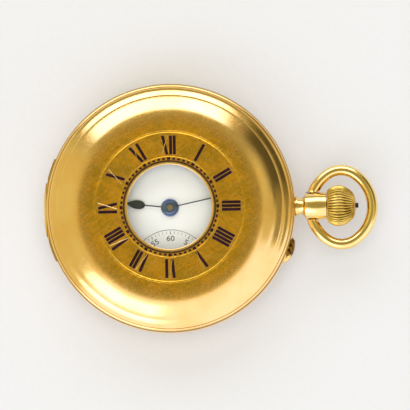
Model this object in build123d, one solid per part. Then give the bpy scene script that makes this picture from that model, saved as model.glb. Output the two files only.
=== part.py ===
from build123d import *
from math import acos, asin, atan2, cos, degrees, hypot, radians, sin, sqrt
import os

# A half hunter pocket watch, lying on its back. Millimetres, +Z up.
# The pendant points along +X and twelve o'clock along +Y.
# The origin is on the case axis, in the plane on which the flat of the back cover rests.

# Case body
back_height = 3.6
band_height = 5.0
band_radius = 25.0
band_bulge = 0.25
band_wall = 2.8
band_inner_radius = band_radius - band_wall
lip_width = 0.8
lip_radius = band_inner_radius - lip_width
lip_lift = 0.1
lip_height = 0.7
seat_width = 0.35
seat_radius = lip_radius + seat_width
upstand_width = 0.5
upstand_height = 0.5
cuvette_rebate_width = 0.55
cuvette_rebate_radius = band_inner_radius + cuvette_rebate_width
cuvette_rebate_height = 0.45
lug_length = 20.6
lug_swell = 0.3

# Fits
slip_gap = 0.02
run_gap = 0.04
swing_gap = 0.10
face_gap = 0.05
overrun = 1.0

# Front cover
cover_rise = 4.3
cover_wall = 0.6
cover_shoulder_drop = 2.0
cover_step_drop = 2.15
cover_rim_inset = 0.2
cover_rim_radius = band_radius - cover_rim_inset
cover_rim_width = 1.9
cover_step_radius = cover_rim_radius - cover_rim_width
cover_step_width = 0.3
cover_shoulder_radius = cover_step_radius - cover_step_width
cover_shoulder_width = 6.1
cover_flat_radius = cover_shoulder_radius - cover_shoulder_width
cover_rim_swell_height = 0.7
cover_rim_wall = 1.2
cover_rim_inner_radius = cover_rim_radius - cover_rim_wall
cover_rim_inner_height = 0.8
aperture_radius = 9.3
chapter_radius = 15.15
hour_angle = 30.0
chapter_groove_width = 0.12
chapter_groove_depth = 0.06
numeral_inner_radius = 10.85
numeral_outer_radius = 14.15
numeral_stroke = 0.62
numeral_spacing = 0.42
numeral_depth = 0.12
letter_v_width = 1.75
letter_x_width = 1.9

# Cover crystal and its ring
cover_ring_inner_radius = 8.7
cover_ring_proud = 0.1
cover_ring_lip = 0.3
cover_ring_wall = 0.3
cover_ring_flange = 0.8
cover_ring_flange_height = 0.3
cover_glass_thick = 0.4
cover_glass_dome = 0.5

# Back cover
back_wall = 0.55
back_shoulder_height = 2.4
back_rim_inset = 0.1
back_rim_radius = band_radius - back_rim_inset
back_rim_width = 0.6
back_shoulder_radius = back_rim_radius - back_rim_width
back_shoulder_width = 10.3
back_flat_radius = back_shoulder_radius - back_shoulder_width
back_rim_height = 0.95
back_rim_wall = 1.7
back_rim_inner_radius = back_rim_radius - back_rim_wall

# Inner cover
cuvette_level = 1.35
cuvette_wall = 0.4
cuvette_fit = 0.1
cuvette_rim_radius = cuvette_rebate_radius - cuvette_fit
cuvette_slope_width = 3.65
cuvette_flat_radius = cuvette_rim_radius - cuvette_slope_width
cuvette_rim_wall = 0.65
cuvette_rim_top_gap = 0.05
cuvette_rim_height = 0.7
cuvette_hinge_reach = 0.35
cuvette_hinge_x = cuvette_rim_radius + cuvette_hinge_reach
cuvette_knuckle_radius = 0.45
cuvette_pin_radius = 0.2
cuvette_hinge_length = 6.2
cuvette_hinge_middle = 3.2

# Cover hinges
hinge_reach = -0.3
hinge_x = band_radius + hinge_reach
knuckle_radius = 0.65
knuckle_proud = 0.1
hinge_pin_radius = 0.2
hinge_length = 10.8
hinge_middle = 7.2
hinge_web = 1.0

# Inner bezel and dial crystal
bezel_width = 1.25
bezel_radius = seat_radius + bezel_width
bezel_side_height = 0.9
bezel_slope_width = 2.25
bezel_top_radius = bezel_radius - bezel_slope_width
bezel_top_height = 2.6
bezel_glass_seat_height = 2.25
bezel_ledge = 0.35
bezel_ledge_height = 0.45
bezel_top_width = 1.15
bezel_inner_radius = bezel_top_radius - bezel_top_width
bezel_notch_depth = 0.4
bezel_groove_clear = 0.05
dial_glass_thick = 0.5

# Pendant
neck_radius = 1.75
neck_ring_radius = 2.1
neck_ring_reach = 0.6
neck_flare_radius = 2.5
neck_flare_length = 0.5
pendant_root_depth = 2.1
pendant_root_x = band_radius - pendant_root_depth
neck_length = 2.1
neck_end_x = band_radius + neck_length
head_radius = 2.75
head_length = 4.3
head_end_x = neck_end_x + head_length
head_round = 0.15
pendant_bore_radius = 1.15
pendant_counterbore_radius = 1.5
pendant_counterbore_depth = 0.7
pendant_counterbore_end_x = pendant_root_x + pendant_counterbore_depth
bow_pivot_reach = 1.5
bow_pivot_x = neck_end_x + bow_pivot_reach
bow_pivot_radius = 0.65
bow_pivot_depth = 0.9

# Bow
bow_half_width = 7.45
bow_half_length = 6.25
bow_end_radius = 4.8
bow_centre_reach = 5.75
bow_centre_x = bow_pivot_x + bow_centre_reach
bow_wire_radius = 1.1
bow_head_gap = 0.1

# Crown and stem
crown_gap = 0.1
crown_x = head_end_x + crown_gap
crown_travel = 0.8
crown_length = 5.4
crown_base_radius = 3.1
crown_belly_radius = 4.13
crown_belly_share = 0.43
crown_end_radius = 2.75
crown_dome_radius = 1.5
crown_dome_rise = 0.5
crown_rib_count = 32
crown_rib_height = 0.34
crown_rib_share = 0.62
crown_skirt_bore_radius = 2.85
crown_skirt_depth = 1.0
crown_tip_radius = 0.5
crown_tip_rise = 0.4
stem_radius = 0.6
stem_square = 0.84
stem_pilot_radius = 0.37
stem_start_x = 14.05
stem_square_x = 15.65
stem_round_x = 18.2
stem_depth_in_crown = 3.6
stem_collar_radius = 0.95
stem_collar_length = 0.3
sleeve_radius = 1.1
sleeve_start_x = 22.3
sleeve_flange_radius = 1.4
sleeve_flange_length = 0.4
sleeve_end_gap = 0.1

# Springs in the case band
case_spring_wall = 0.5
case_spring_inset = 0.85
case_spring_radius = band_inner_radius - case_spring_inset
case_spring_drop = 1.6
case_spring_height = 1.0
case_spring_nose_width = 2.2
case_spring_nose_reach = 0.9
case_spring_nose_inner = band_inner_radius + case_spring_nose_reach
case_spring_nose_wall = 0.35
case_spring_nose_outer = case_spring_nose_inner + case_spring_nose_wall
case_spring_nose_height = 0.5
case_spring_root_radius = 0.8
case_spring_root_inset = 0.4
lock_hook_reach = 0.3
lock_hook_height = 0.25
lock_hook_width = 0.7
lock_spring_root_angle = -44.0
lock_spring_nose_angle = -8.0
lock_spring_end_angle = -2.9
lift_spring_root_angle = 128.0
lift_spring_nose_angle = 166.0
case_slot_gap = 0.7

# Guarded push piece for setting
push_angle = -20.0
push_radius = 0.38
push_inner_reach = 4.0
push_start = band_radius - push_inner_reach
push_outer_reach = 1.2
push_end = band_radius + push_outer_reach
push_head_radius = 0.5
push_head_length = 0.5
guard_reach = 1.3
guard_length = 5.4
guard_shift = -0.2
guard_height = 2.4
guard_root = 0.6
guard_bend = 3.5

# Movement plates
plate_step = 0.4
plate_thick = 1.5
plate_clear = 0.1
bridge_inset = 1.15
bridge_radius = seat_radius - bridge_inset
bridge_space = 2.2
bridge_thick = 1.0
barrel_bridge_edge = 2.2
train_bridge_edge = 1.9
train_bridge_side = 3.2
balance_clear = 8.75
dial_seat_height = 1.0
dial_seat_width = 2.45
dial_seat_inner_radius = seat_radius - dial_seat_width
wheel_pocket_depth = 0.2
foot_radius = 1.8
train_foot_a_radius = 17.0
train_foot_a_angle = -65.7
train_foot_b_radius = 18.4
train_foot_b_angle = -107.4
barrel_foot_a_radius = 17.75
barrel_foot_a_angle = 99.7
barrel_foot_b_radius = 15.0
barrel_foot_b_angle = -28.6
stem_foot_x0 = 19.15
stem_foot_x1 = 20.3
stem_foot_half_width = 2.6
pilot_post_x0 = 13.9
pilot_post_x1 = 14.8
pilot_post_half_width = 0.9

# Jewels, screws and pins
jewel_radius = 0.7
jewel_thick = 0.35
jewel_level = 0.3
pivot_radius = 0.12
arbor_radius = 0.3
screw_head_radius = 1.1
screw_head_height = 0.45
screw_shank_radius = 0.5
screw_slot_width = 0.25
screw_slot_depth = 0.2
screw_depth_in_plate = 1.2
small_screw_head_radius = 0.7
small_screw_head_height = 0.3
small_screw_shank_radius = 0.35
case_screw_inset = 0.5
case_screw_radius = lip_radius - case_screw_inset
case_screw_head_radius = 1.25
case_screw_head_height = 0.45
case_screw_angles = (62.0, 215.0)

# Time train: teeth, modules and levels below the plate
tooth_tip_share = 0.13
tooth_root_share = 0.31
tooth_depth_share = 1.25
barrel_teeth = 80
centre_pinion_teeth = 10
barrel_module = 0.21
centre_teeth = 80
third_pinion_teeth = 10
centre_module = 0.17
third_teeth = 75
fourth_pinion_teeth = 10
third_module = 0.13
fourth_teeth = 80
escape_pinion_teeth = 8
fourth_module = 0.12
escape_teeth = 15
escape_radius = 3.3
escape_root_radius = 2.7
escape_back_share = 0.35
escape_tip_share = 0.05
escape_arms = 4
wheel_thick = 0.24
seconds_distance = 12.4
escape_angle = 160.0
centre_wheel_drop = 0.01
fourth_wheel_drop = 0.34
escape_wheel_drop = 0.68
third_wheel_drop = 1.70
pinion_length = 0.5
wheel_rim_teeth = 3.0
wheel_hub_radius = 1.2
wheel_arm_width = 0.45
wheel_arms = 5
centre_arbor_radius = 0.7
centre_pivot_radius = 0.3
centre_shaft_radius = 0.5
centre_post_radius = 0.35
seconds_pivot_radius = 0.2

# Barrel and winding wheels
barrel_wall = 0.45
barrel_height = 1.7
barrel_drop = 0.35
barrel_floor = 0.3
barrel_ring_height = 0.4
barrel_cover_height = 0.25
barrel_core_radius = 2.0
barrel_arbor_radius = 1.0
barrel_bore_gap = 0.05
barrel_square = 1.3
mainspring_turns = 6
mainspring_pitch = 0.8
spiral_point_step = 10
mainspring_strip = 0.25
winding_module = 0.25
ratchet_teeth = 52
crown_wheel_teeth = 30
crown_wheel_x = 14.9
ratchet_proud = 0.35
ratchet_thick = 0.55
face_teeth = 24
face_teeth_radius = 3.36
face_teeth_length = 0.76
face_teeth_height = 0.4
face_teeth_width_share = 0.32
winding_pinion_teeth = 16
winding_pinion_module = 0.28
winding_pinion_x0 = 17.45
winding_pinion_x1 = 19.0
crown_wheel_bore_radius = 1.0
winding_recess_gap = 0.15
click_direction = 100.0
click_distance = 8.6
click_radius = 1.1
click_thick = 0.4
click_beak = 0.3
click_tail = 1.6
click_lean = 38.0
click_spring_lean = 121.6
click_spring_wire = 0.3
click_spring_reach = 5.2

# Setting work
clutch_x0 = 15.6
clutch_x1 = 17.35
clutch_radius = 1.7
clutch_groove_radius = 1.2
clutch_groove_x = 16.2
clutch_groove_width = 0.55
clutch_travel = 0.6
clutch_teeth = 12
clutch_tooth_depth = 0.25
clutch_tooth_width = 0.3
yoke_thick = 0.35
yoke_width = 1.0
yoke_reach = 1.05
yoke_slot = 0.4
yoke_slot_share = 0.7
lever_pivot_radius = 19.0
lever_pivot_angle = -48.8
lever_boss_radius = 1.2
lever_arm_width = 0.55
lever_thick = 0.5
lever_tip_gap = 0.05
setting_teeth = 32
setting_wheel_drop = 0.55
setting_wheel_thick = 0.95
setting_pocket_gap = 0.2

# Motion work and dial
motion_module = 0.20
cannon_teeth = 12
minute_teeth = 36
hour_module = 0.192
minute_pinion_teeth = 10
hour_teeth = 40
motion_wheel_thick = 0.3
motion_gap = 0.06
cannon_pipe_radius = 0.6
hour_pipe_wall = 0.3
motion_post_radius = 0.4
setting_post_radius = 0.6
dial_inset = 1.05
dial_radius = seat_radius - dial_inset
dial_thick = 0.5
dial_centre_hole = 1.2
dial_seconds_hole = 0.6
seconds_dial_radius = 8.05
seconds_dial_sink = 0.15
dial_foot_radius = 0.4
dial_foot_distance = 18.0
dial_foot_depth = 1.0
dial_foot_angles = (45.0, 165.0, 285.0)

# Hands, drawn at thirteen minutes past nine
hand_thick = 0.14
hand_gap = 0.12
hour_hand_angle = 276.5
minute_hand_angle = 78.0
seconds_hand_angle = 210.0
hour_boss_radius = 1.8
hour_neck_radius = 5.05
hour_pear_centre = 6.35
hour_pear_radius = 0.95
hour_pear_tip = 8.6
hour_spade_centre = 11.0
hour_spade_radius = 0.95
hour_spade_tip = 13.4
hour_arm_width = 0.45
minute_boss_radius = 1.3
minute_arm_width = 0.42
minute_tip_width = 0.3
minute_pear_centre = 14.6
minute_pear_radius = 0.6
minute_tip = 18.4
seconds_boss_radius = 0.55
seconds_tip = 6.9
seconds_tail = 2.4
seconds_arm_width = 0.18
seconds_tail_radius = 0.5

# Balance, escapement and regulator
balance_distance = 12.15
balance_angle = 197.24
balance_radius = 7.7
balance_rim_width = 0.6
balance_rim_height = 0.8
balance_rim_drop = 1.65
balance_arm_thick = 0.25
balance_arm_width = 0.7
balance_hub_radius = 1.1
balance_screw_count = 14
balance_screw_radius = 0.28
balance_screw_length = 0.45
staff_radius = 0.4
collet_radius = 0.55
roller_radius = 1.25
roller_thick = 0.25
roller_drop = 1.2
impulse_radius = 0.1
impulse_orbit = 0.95
impulse_length = 0.26
cock_thick = 0.8
cock_rise = 0.55
cock_end_radius = 2.3
cock_foot_radius = 2.6
cock_foot_distance = 15.9
cock_foot_angle = 146.0
regulator_thick = 0.3
regulator_hub_radius = 1.55
regulator_bore_radius = 0.95
regulator_index = 6.2
regulator_index_width = 0.4
regulator_tail_radius = 0.35
regulator_pin_radius = 0.08
cap_setting_radius = 0.9
hairspring_turns = 5
hairspring_pitch = 0.56
hairspring_strip = 0.08
hairspring_height = 0.25
hairspring_drop = 0.15
hairspring_start_radius = 0.6
stud_radius = 0.3
pallet_distance = 3.93
pallet_boss_radius = 0.55
pallet_thick = 0.26
pallet_arm_width = 0.45
pallet_stone_angle = 30.0
pallet_stone_radius = 3.57
pallet_stone_length = 0.6
pallet_pad_radius = 0.36
pallet_stone_width = 0.3
pallet_lever_width = 0.3
pallet_fork_width = 0.8
pallet_fork_length = 0.55
pallet_notch = 0.3
pallet_cock_thick = 0.4
pallet_cock_drop = 1.12
pallet_cock_radius = 1.15
pallet_cock_reach = 3.5

# Levels, from the resting plane up
band_z0 = back_height
band_z1 = band_z0 + band_height
stem_z = (band_z0 + band_z1) / 2
lip_z0 = stem_z + lip_lift
lip_z1 = lip_z0 + lip_height
plate_z0 = lip_z1 - plate_step
plate_z1 = plate_z0 + plate_thick
dial_z0 = plate_z1 + dial_seat_height
dial_z1 = dial_z0 + dial_thick
bridge_z1 = plate_z0 - bridge_space
bridge_z0 = bridge_z1 - bridge_thick
cover_z = band_z1 + cover_rise
cover_inner_z = cover_z - cover_wall
bezel_glass_z0 = band_z1 + bezel_glass_seat_height
bezel_glass_z1 = bezel_glass_z0 + dial_glass_thick
seconds_hand_z0 = dial_z1 + hand_gap
hour_hand_z0 = seconds_hand_z0 + hand_thick + hand_gap
minute_hand_z0 = hour_hand_z0 + hand_thick + 2 * hand_gap
pocket_z = plate_z0 + wheel_pocket_depth
cock_z0 = bridge_z0 - cock_rise
cock_z1 = cock_z0 + cock_thick


def polar(radius, angle):
    """A point at a radius and at degrees from +X."""
    return (radius * cos(radians(angle)), radius * sin(radians(angle)))


def shifted(point, radius, angle):
    """A point at a radius and angle from another point."""
    step = polar(radius, angle)
    return (point[0] + step[0], point[1] + step[1])


def bearing(start, end):
    """The direction from one point to another in degrees."""
    return degrees(atan2(end[1] - start[1], end[0] - start[0]))


def distance(start, end):
    """The distance between two points."""
    return hypot(end[0] - start[0], end[1] - start[1])


def meet(first, first_radius, second, second_radius, side):
    """Where two circles cross: side is 1 left of the line between the centres, -1 right of it."""
    span = distance(first, second)
    along = (first_radius ** 2 - second_radius ** 2 + span ** 2) / (2 * span)
    turn = degrees(acos(along / first_radius))
    return shifted(first, first_radius, bearing(first, second) + side * turn)


def centres(module, teeth, pinion_teeth):
    """The centre distance of two meshing gears."""
    return module * (teeth + pinion_teeth) / 2


def mesh_phase(phase, teeth, mate_teeth, direction):
    """The phase in degrees of a mate, so that its gap faces a tooth of the first gear."""
    pitch, mate_pitch = 360 / teeth, 360 / mate_teeth
    return direction + 180 - mate_pitch / 2 - (phase - direction) * mate_pitch / pitch


# Places of the arbors in plan
centre_at = (0, 0)
seconds_at = (0, -seconds_distance)
third_at = meet(centre_at, centres(centre_module, centre_teeth, third_pinion_teeth),
                seconds_at, centres(third_module, third_teeth, fourth_pinion_teeth), 1)
escape_at = shifted(seconds_at, centres(fourth_module, fourth_teeth, escape_pinion_teeth), escape_angle)
crown_wheel_at = (crown_wheel_x, 0)
barrel_at = meet(centre_at, centres(barrel_module, barrel_teeth, centre_pinion_teeth),
                 crown_wheel_at, centres(winding_module, ratchet_teeth, crown_wheel_teeth), 1)
balance_at = polar(balance_distance, balance_angle)
lever_line = bearing(escape_at, balance_at)
pallet_at = shifted(escape_at, pallet_distance, lever_line)
minute_at = (centres(motion_module, minute_teeth, cannon_teeth), 0)
setting_at = (minute_at[0] + centres(motion_module, minute_teeth, setting_teeth), 0)
pallet_foot_at = shifted(pallet_at, pallet_cock_reach, lever_line + 90)
train_feet = [polar(train_foot_a_radius, train_foot_a_angle), polar(train_foot_b_radius, train_foot_b_angle)]
barrel_feet = [polar(barrel_foot_a_radius, barrel_foot_a_angle),
               polar(barrel_foot_b_radius, barrel_foot_b_angle)]
cock_foot_at = polar(cock_foot_distance, cock_foot_angle)
lever_pivot_at = polar(lever_pivot_radius, lever_pivot_angle)
click_at = shifted(barrel_at, click_distance, click_direction)
split_angle = bearing(centre_at, barrel_at)
jewelled = [third_at, seconds_at, escape_at]


def disc(radius, z0, z1, at=(0, 0)):
    """An upright cylinder between two levels."""
    standing = (Align.CENTER, Align.CENTER, Align.MIN)
    return Pos(at[0], at[1], z0) * Cylinder(radius, z1 - z0, align=standing)


def ring(outer, inner, z0, z1, at=(0, 0)):
    """An upright ring between two levels."""
    return disc(outer, z0, z1, at) - disc(inner, z0 - overrun, z1 + overrun, at)


def slab(x0, x1, y0, y1, z0, z1):
    """A box between two corners."""
    return Pos(x0, y0, z0) * Box(x1 - x0, y1 - y0, z1 - z0, align=(Align.MIN, Align.MIN, Align.MIN))


def rod_x(radius, x0, x1, y, z):
    """A cylinder along X."""
    standing = (Align.CENTER, Align.CENTER, Align.MIN)
    return Pos(x0, y, z) * Rot(0, 90, 0) * Cylinder(radius, x1 - x0, align=standing)


def rod_y(radius, x, y0, y1, z):
    """A cylinder along Y."""
    standing = (Align.CENTER, Align.CENTER, Align.MIN)
    return Pos(x, y0, z) * Rot(-90, 0, 0) * Cylinder(radius, y1 - y0, align=standing)


def prism(points, z0, z1):
    """An upright prism over a closed outline."""
    outline = Polyline(*[(x, y, z0) for x, y in points], close=True)
    return extrude(make_face(outline), amount=z1 - z0, dir=(0, 0, 1))


def lathe(points, at=(0, 0)):
    """A turned piece from a closed outline of (radius, level) points."""
    outline = Polyline(*[(radius, 0, z) for radius, z in points], close=True)
    return Pos(at[0], at[1], 0) * revolve(make_face(outline), axis=Axis.Z)


def stepped(sections, at=(0, 0)):
    """A turned arbor from (radius, lower level, upper level) sections, joined end to end."""
    outline = [(0, sections[0][1])]
    for radius, z0, z1 in sections:
        outline += [(radius, z0), (radius, z1)]
    return lathe(outline + [(0, sections[-1][2])], at)


def tapered_arm(start, start_radius, end, end_radius, z0, z1):
    """A flat arm with round ends of two sizes."""
    turn = degrees(acos((start_radius - end_radius) / distance(start, end)))
    line = bearing(start, end)
    sides = [shifted(start, start_radius, line + turn), shifted(start, start_radius, line - turn),
             shifted(end, end_radius, line - turn), shifted(end, end_radius, line + turn)]
    return disc(start_radius, z0, z1, start) + prism(sides, z0, z1) + disc(end_radius, z0, z1, end)


def gear_outline(teeth, module, phase):
    """Points of a gear's outline: a tooth's half widths are shares of the pitch."""
    pitch = 360 / teeth
    tip, root = module * (teeth / 2 + 1), module * (teeth / 2 - tooth_depth_share)
    points = []
    for tooth in range(teeth):
        middle = phase + tooth * pitch
        points += [polar(root, middle - tooth_root_share * pitch), polar(tip, middle - tooth_tip_share * pitch),
                   polar(tip, middle + tooth_tip_share * pitch), polar(root, middle + tooth_root_share * pitch)]
    return points


def toothed(teeth, module, z0, z1, phase, at=(0, 0)):
    """A toothed disc."""
    return Pos(at[0], at[1], 0) * prism(gear_outline(teeth, module, phase), z0, z1)


def crossings(outer, inner, z0, z1, arms, arm_width, at=(0, 0)):
    """The windows between the arms of a wheel."""
    windows = ring(outer, inner, z0 - overrun, z1 + overrun)
    for arm in range(arms):
        spoke = slab(0, outer + overrun, -arm_width / 2, arm_width / 2, z0 - 2 * overrun, z1 + 2 * overrun)
        windows -= Rot(0, 0, arm * 360 / arms) * spoke
    return Pos(at[0], at[1], 0) * windows


def train_wheel(teeth, module, z0, phase, at):
    """A brass train wheel with arms."""
    z1 = z0 + wheel_thick
    rim = module * (teeth / 2 - wheel_rim_teeth)
    wheel = toothed(teeth, module, z0, z1, phase, at)
    return wheel - crossings(rim, wheel_hub_radius, z0, z1, wheel_arms, wheel_arm_width, at)


def jewel(at, z0, hole_radius):
    """A pierced bearing jewel."""
    return ring(jewel_radius, hole_radius, z0, z0 + jewel_thick, at)


def screw(at, head_radius, z0, head_height, shank_radius, shank_end):
    """A slotted screw with its head down, towards the back."""
    body = disc(head_radius, z0, z0 + head_height, at) + disc(shank_radius, z0 + head_height, shank_end, at)
    slot = slab(-head_radius - overrun, head_radius + overrun, -screw_slot_width / 2, screw_slot_width / 2,
                z0 - overrun, z0 + screw_slot_depth)
    return body - Pos(at[0], at[1], 0) * Rot(0, 0, bearing(centre_at, at)) * slot


def save(name, *solids):
    """Writes one node, of one solid or of a group of separate solids."""
    shape = solids[0] if len(solids) == 1 else Compound(list(solids))
    export_step(shape, os.path.join("parts", name + ".step"))


def arc_z(centre_r, centre_z, radius, at_r):
    """The level of a circle at a radius from the axis, on its upper side for a positive radius."""
    height = sqrt(radius ** 2 - (at_r - centre_r) ** 2)
    return centre_z + height


def point_xz(radius, z):
    """A profile point in the XZ plane."""
    return (radius, 0, z)


def turned(edges):
    """A solid turned about the case axis from a closed profile of edges."""
    return revolve(make_face(edges), axis=Axis.Z)


def profile_path(steps):
    """Edges of a closed profile: a step is a point, or a pair of a via point and an end point."""
    edges = []
    current = point_xz(*steps[0])
    for step in steps[1:] + [steps[0]]:
        if isinstance(step[0], tuple):
            edges.append(ThreePointArc(current, point_xz(*step[0]), point_xz(*step[1])))
            current = point_xz(*step[1])
        else:
            edges.append(Line(current, point_xz(*step)))
            current = point_xz(*step)
    return edges


# Hinges of the covers

hinge_end_half = hinge_length / 2
hinge_mid_half = hinge_middle / 2
cuvette_end_half = cuvette_hinge_length / 2
cuvette_mid_half = cuvette_hinge_middle / 2


def knuckle(x, z, radius, pin_radius, y0, y1):
    """A hinge knuckle, bored for its pin and filed to the round of the case."""
    bore = rod_y(pin_radius + slip_gap, x, y0 - overrun, y1 + overrun, z)
    filed = disc(band_radius + lug_swell + knuckle_proud, z - radius - overrun, z + radius + overrun)
    return rod_y(radius, x, y0, y1, z) & filed, bore


def end_knuckles(shape, x, z, radius, pin_radius, mid_half, end_half):
    """Adds the two end knuckles of a hinge and clears the middle one."""
    room = rod_y(radius + swing_gap, x, -mid_half - face_gap, mid_half + face_gap, z)
    shape = shape - room
    for side in (-1, 1):
        y0, y1 = sorted((side * (mid_half + face_gap), side * end_half))
        barrel_shape, bore = knuckle(x, z, radius, pin_radius, y0, y1)
        shape = shape + barrel_shape - bore
    return shape


def middle_knuckle(shape, x, z, radius, pin_radius, mid_half, end_half, web):
    """Adds the middle knuckle and its web to a cover and clears the end knuckles."""
    for side in (-1, 1):
        y0, y1 = sorted((side * mid_half, side * (end_half + face_gap)))
        shape = shape - rod_y(radius + swing_gap, x, y0, y1, z)
    barrel_shape, bore = knuckle(x, z, radius, pin_radius, -mid_half, mid_half)
    return shape + web + barrel_shape - bore


# Case band, pendant and springs

def lug_pad():
    """The thicker stretch of the band that carries the hinges."""
    pad = ring(band_radius + lug_swell, band_inner_radius + overrun, band_z0, band_z1)
    return pad & slab(-2 * band_radius, 0, -lug_length / 2, lug_length / 2, band_z0, band_z1)


def case_spring_slot(nose_angle, from_z):
    """The room in the band for the nose of a spring."""
    half = case_spring_nose_width / 2 + case_slot_gap
    slot = slab(lip_radius - overrun, case_spring_nose_outer + case_slot_gap / 4, -half, half,
                from_z, band_z1 + overrun)
    return Rot(0, 0, nose_angle) * slot


def guard_at_band():
    """The half moon of the push guard, square to the band."""
    half_length, half_height = guard_length / 2, guard_height / 2
    moon = disc(guard_bend, stem_z - half_height, stem_z + half_height,
                (band_radius + guard_reach - guard_bend, guard_shift))
    return moon & slab(band_radius - guard_root, band_radius + guard_reach, guard_shift - half_length,
                       guard_shift + half_length, stem_z - half_height, stem_z + half_height)


def make_case_band():
    rebate_z = band_z0 + cuvette_rebate_height
    upstand_z = band_z1 + upstand_height
    steps = [(cuvette_rebate_radius, band_z0), (band_radius, band_z0),
             ((band_radius + band_bulge, stem_z), (band_radius, band_z1)),
             (seat_radius + upstand_width, band_z1), (seat_radius + upstand_width, upstand_z),
             (seat_radius, upstand_z), (seat_radius, lip_z1), (lip_radius, lip_z1), (lip_radius, lip_z0),
             (band_inner_radius, lip_z0), (band_inner_radius, rebate_z), (cuvette_rebate_radius, rebate_z)]
    band = turned(profile_path(steps)) + lug_pad()
    slot_z = stem_z - case_spring_drop - face_gap
    cutters = [rod_x(neck_radius + slip_gap, lip_radius - overrun, band_radius + overrun, 0, stem_z),
               case_spring_slot(lock_spring_nose_angle, slot_z),
               case_spring_slot(lift_spring_nose_angle, slot_z),
               Rot(0, 0, push_angle) * rod_x(push_radius + run_gap, lip_radius - overrun,
                                             band_radius + overrun, 0, stem_z),
               Rot(0, 0, push_angle) * guard_at_band()]
    for angle in (lock_spring_root_angle, lift_spring_root_angle):
        cutters.append(disc(small_screw_shank_radius, band_z0, lip_z1, case_spring_root(angle)))
        cutters.append(disc(small_screw_head_radius + face_gap, band_z0 - overrun, slot_z + face_gap,
                            case_spring_root(angle)))
    for cutter in cutters:
        band = band - cutter
    for z in (band_z0, band_z1):
        band = end_knuckles(band, -hinge_x, z, knuckle_radius, hinge_pin_radius, hinge_mid_half,
                            hinge_end_half)
    band = end_knuckles(band, -cuvette_hinge_x, band_z0, cuvette_knuckle_radius, cuvette_pin_radius,
                        cuvette_mid_half, cuvette_end_half)
    return band


def make_push_guard():
    guard = guard_at_band()
    bore = rod_x(push_head_radius + run_gap, band_radius - guard_root - overrun,
                 band_radius + guard_reach + overrun, 0, stem_z)
    return Rot(0, 0, push_angle) * (guard - bore)


def make_push_pin():
    stem = rod_x(push_radius, push_start, push_end, 0, stem_z)
    head = rod_x(push_head_radius, push_end - push_head_length, push_end, 0, stem_z)
    return Rot(0, 0, push_angle) * (stem + head)


def make_pendant():
    collar = rod_x(neck_ring_radius, band_radius, band_radius + neck_ring_reach, 0, stem_z)
    collar -= disc(band_radius + band_bulge + slip_gap, band_z0, band_z1)
    standing = (Align.CENTER, Align.CENTER, Align.MIN)
    flare = Cone(neck_radius, neck_flare_radius, neck_flare_length, align=standing)
    body = rod_x(neck_radius, pendant_root_x, neck_end_x + face_gap, 0, stem_z) + collar
    body += Pos(neck_end_x - neck_flare_length, 0, stem_z) * Rot(0, 90, 0) * flare
    head = rod_x(head_radius, neck_end_x, head_end_x, 0, stem_z)
    head = fillet(head.edges().filter_by(GeomType.CIRCLE), head_round)
    body += head
    body -= rod_x(pendant_bore_radius, pendant_root_x - overrun, head_end_x + overrun, 0, stem_z)
    body -= rod_x(pendant_counterbore_radius, pendant_root_x - overrun, pendant_counterbore_end_x, 0, stem_z)
    for side in (-1, 1):
        y0, y1 = sorted((side * (head_radius - bow_pivot_depth), side * (head_radius + overrun)))
        body -= rod_y(bow_pivot_radius + run_gap, bow_pivot_x, y0, y1, stem_z)
    return body


def case_spring_root(root_angle):
    """The place of the screw at the root of a case spring, under the lip of the band."""
    return polar(lip_radius + case_spring_root_inset, root_angle)


def case_spring(root_angle, nose_angle, end_angle, hook):
    """A flat spring along the inside of the band, with a nose that rises to the front cover."""
    z0 = stem_z - case_spring_drop
    z1 = z0 + case_spring_height
    nose_top = band_z1 + case_spring_nose_height
    outer = case_spring_radius + case_spring_wall
    low, high = sorted((root_angle, end_angle))
    strip = ring(outer, case_spring_radius, z0, z1)
    far = 2 * outer
    keep = prism([(0, 0), polar(far, low), polar(far, high)], z0, z1)
    strip = strip & keep
    root = case_spring_root(root_angle)
    strip += disc(case_spring_root_radius, z0, lip_z0, root) & disc(band_inner_radius - face_gap, z0, lip_z0)
    half = case_spring_nose_width / 2
    arm = slab(case_spring_radius + case_spring_wall / 4, case_spring_nose_outer, -half, half, z0, z1)
    post = slab(case_spring_nose_inner, case_spring_nose_outer, -half, half, z0, nose_top)
    nose = arm + post
    if hook:
        hook_half = lock_hook_width / 2
        nose += slab(case_spring_nose_outer - face_gap, case_spring_nose_outer + lock_hook_reach,
                     -hook_half, hook_half, nose_top - lock_hook_height, nose_top)
    spring = strip + Rot(0, 0, nose_angle) * nose
    return spring - disc(small_screw_shank_radius + slip_gap, z0 - overrun, lip_z0 + overrun, root)


def case_spring_screw(root_angle):
    """The screw that holds the root of a case spring to the lip of the band."""
    z0 = stem_z - case_spring_drop
    return screw(case_spring_root(root_angle), small_screw_head_radius, z0 - small_screw_head_height,
                 small_screw_head_height, small_screw_shank_radius, lip_z1)


# Covers

shoulder_run = cover_shoulder_radius - cover_flat_radius
cover_arc = (shoulder_run ** 2 + cover_shoulder_drop ** 2) / (2 * cover_shoulder_drop)
cover_arc_z = cover_z - cover_arc
cover_inner_arc = cover_arc - cover_wall
cover_end_turn = asin(shoulder_run / cover_arc)
cover_inner_end = cover_flat_radius + cover_inner_arc * sin(cover_end_turn)


def clock_point(sideways, outward, hour):
    """A point of a chapter figure: sideways runs clockwise and outward away from the centre."""
    angle = radians(90 - hour_angle * hour)
    return (outward * cos(angle) + sideways * sin(angle), outward * sin(angle) - sideways * cos(angle))


def figure_letters(hour):
    """The letters of a chapter figure, with four as IIII."""
    return ("I", "II", "III", "IIII", "V", "VI", "VII", "VIII", "IX", "X", "XI", "XII")[hour - 1]


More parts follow.
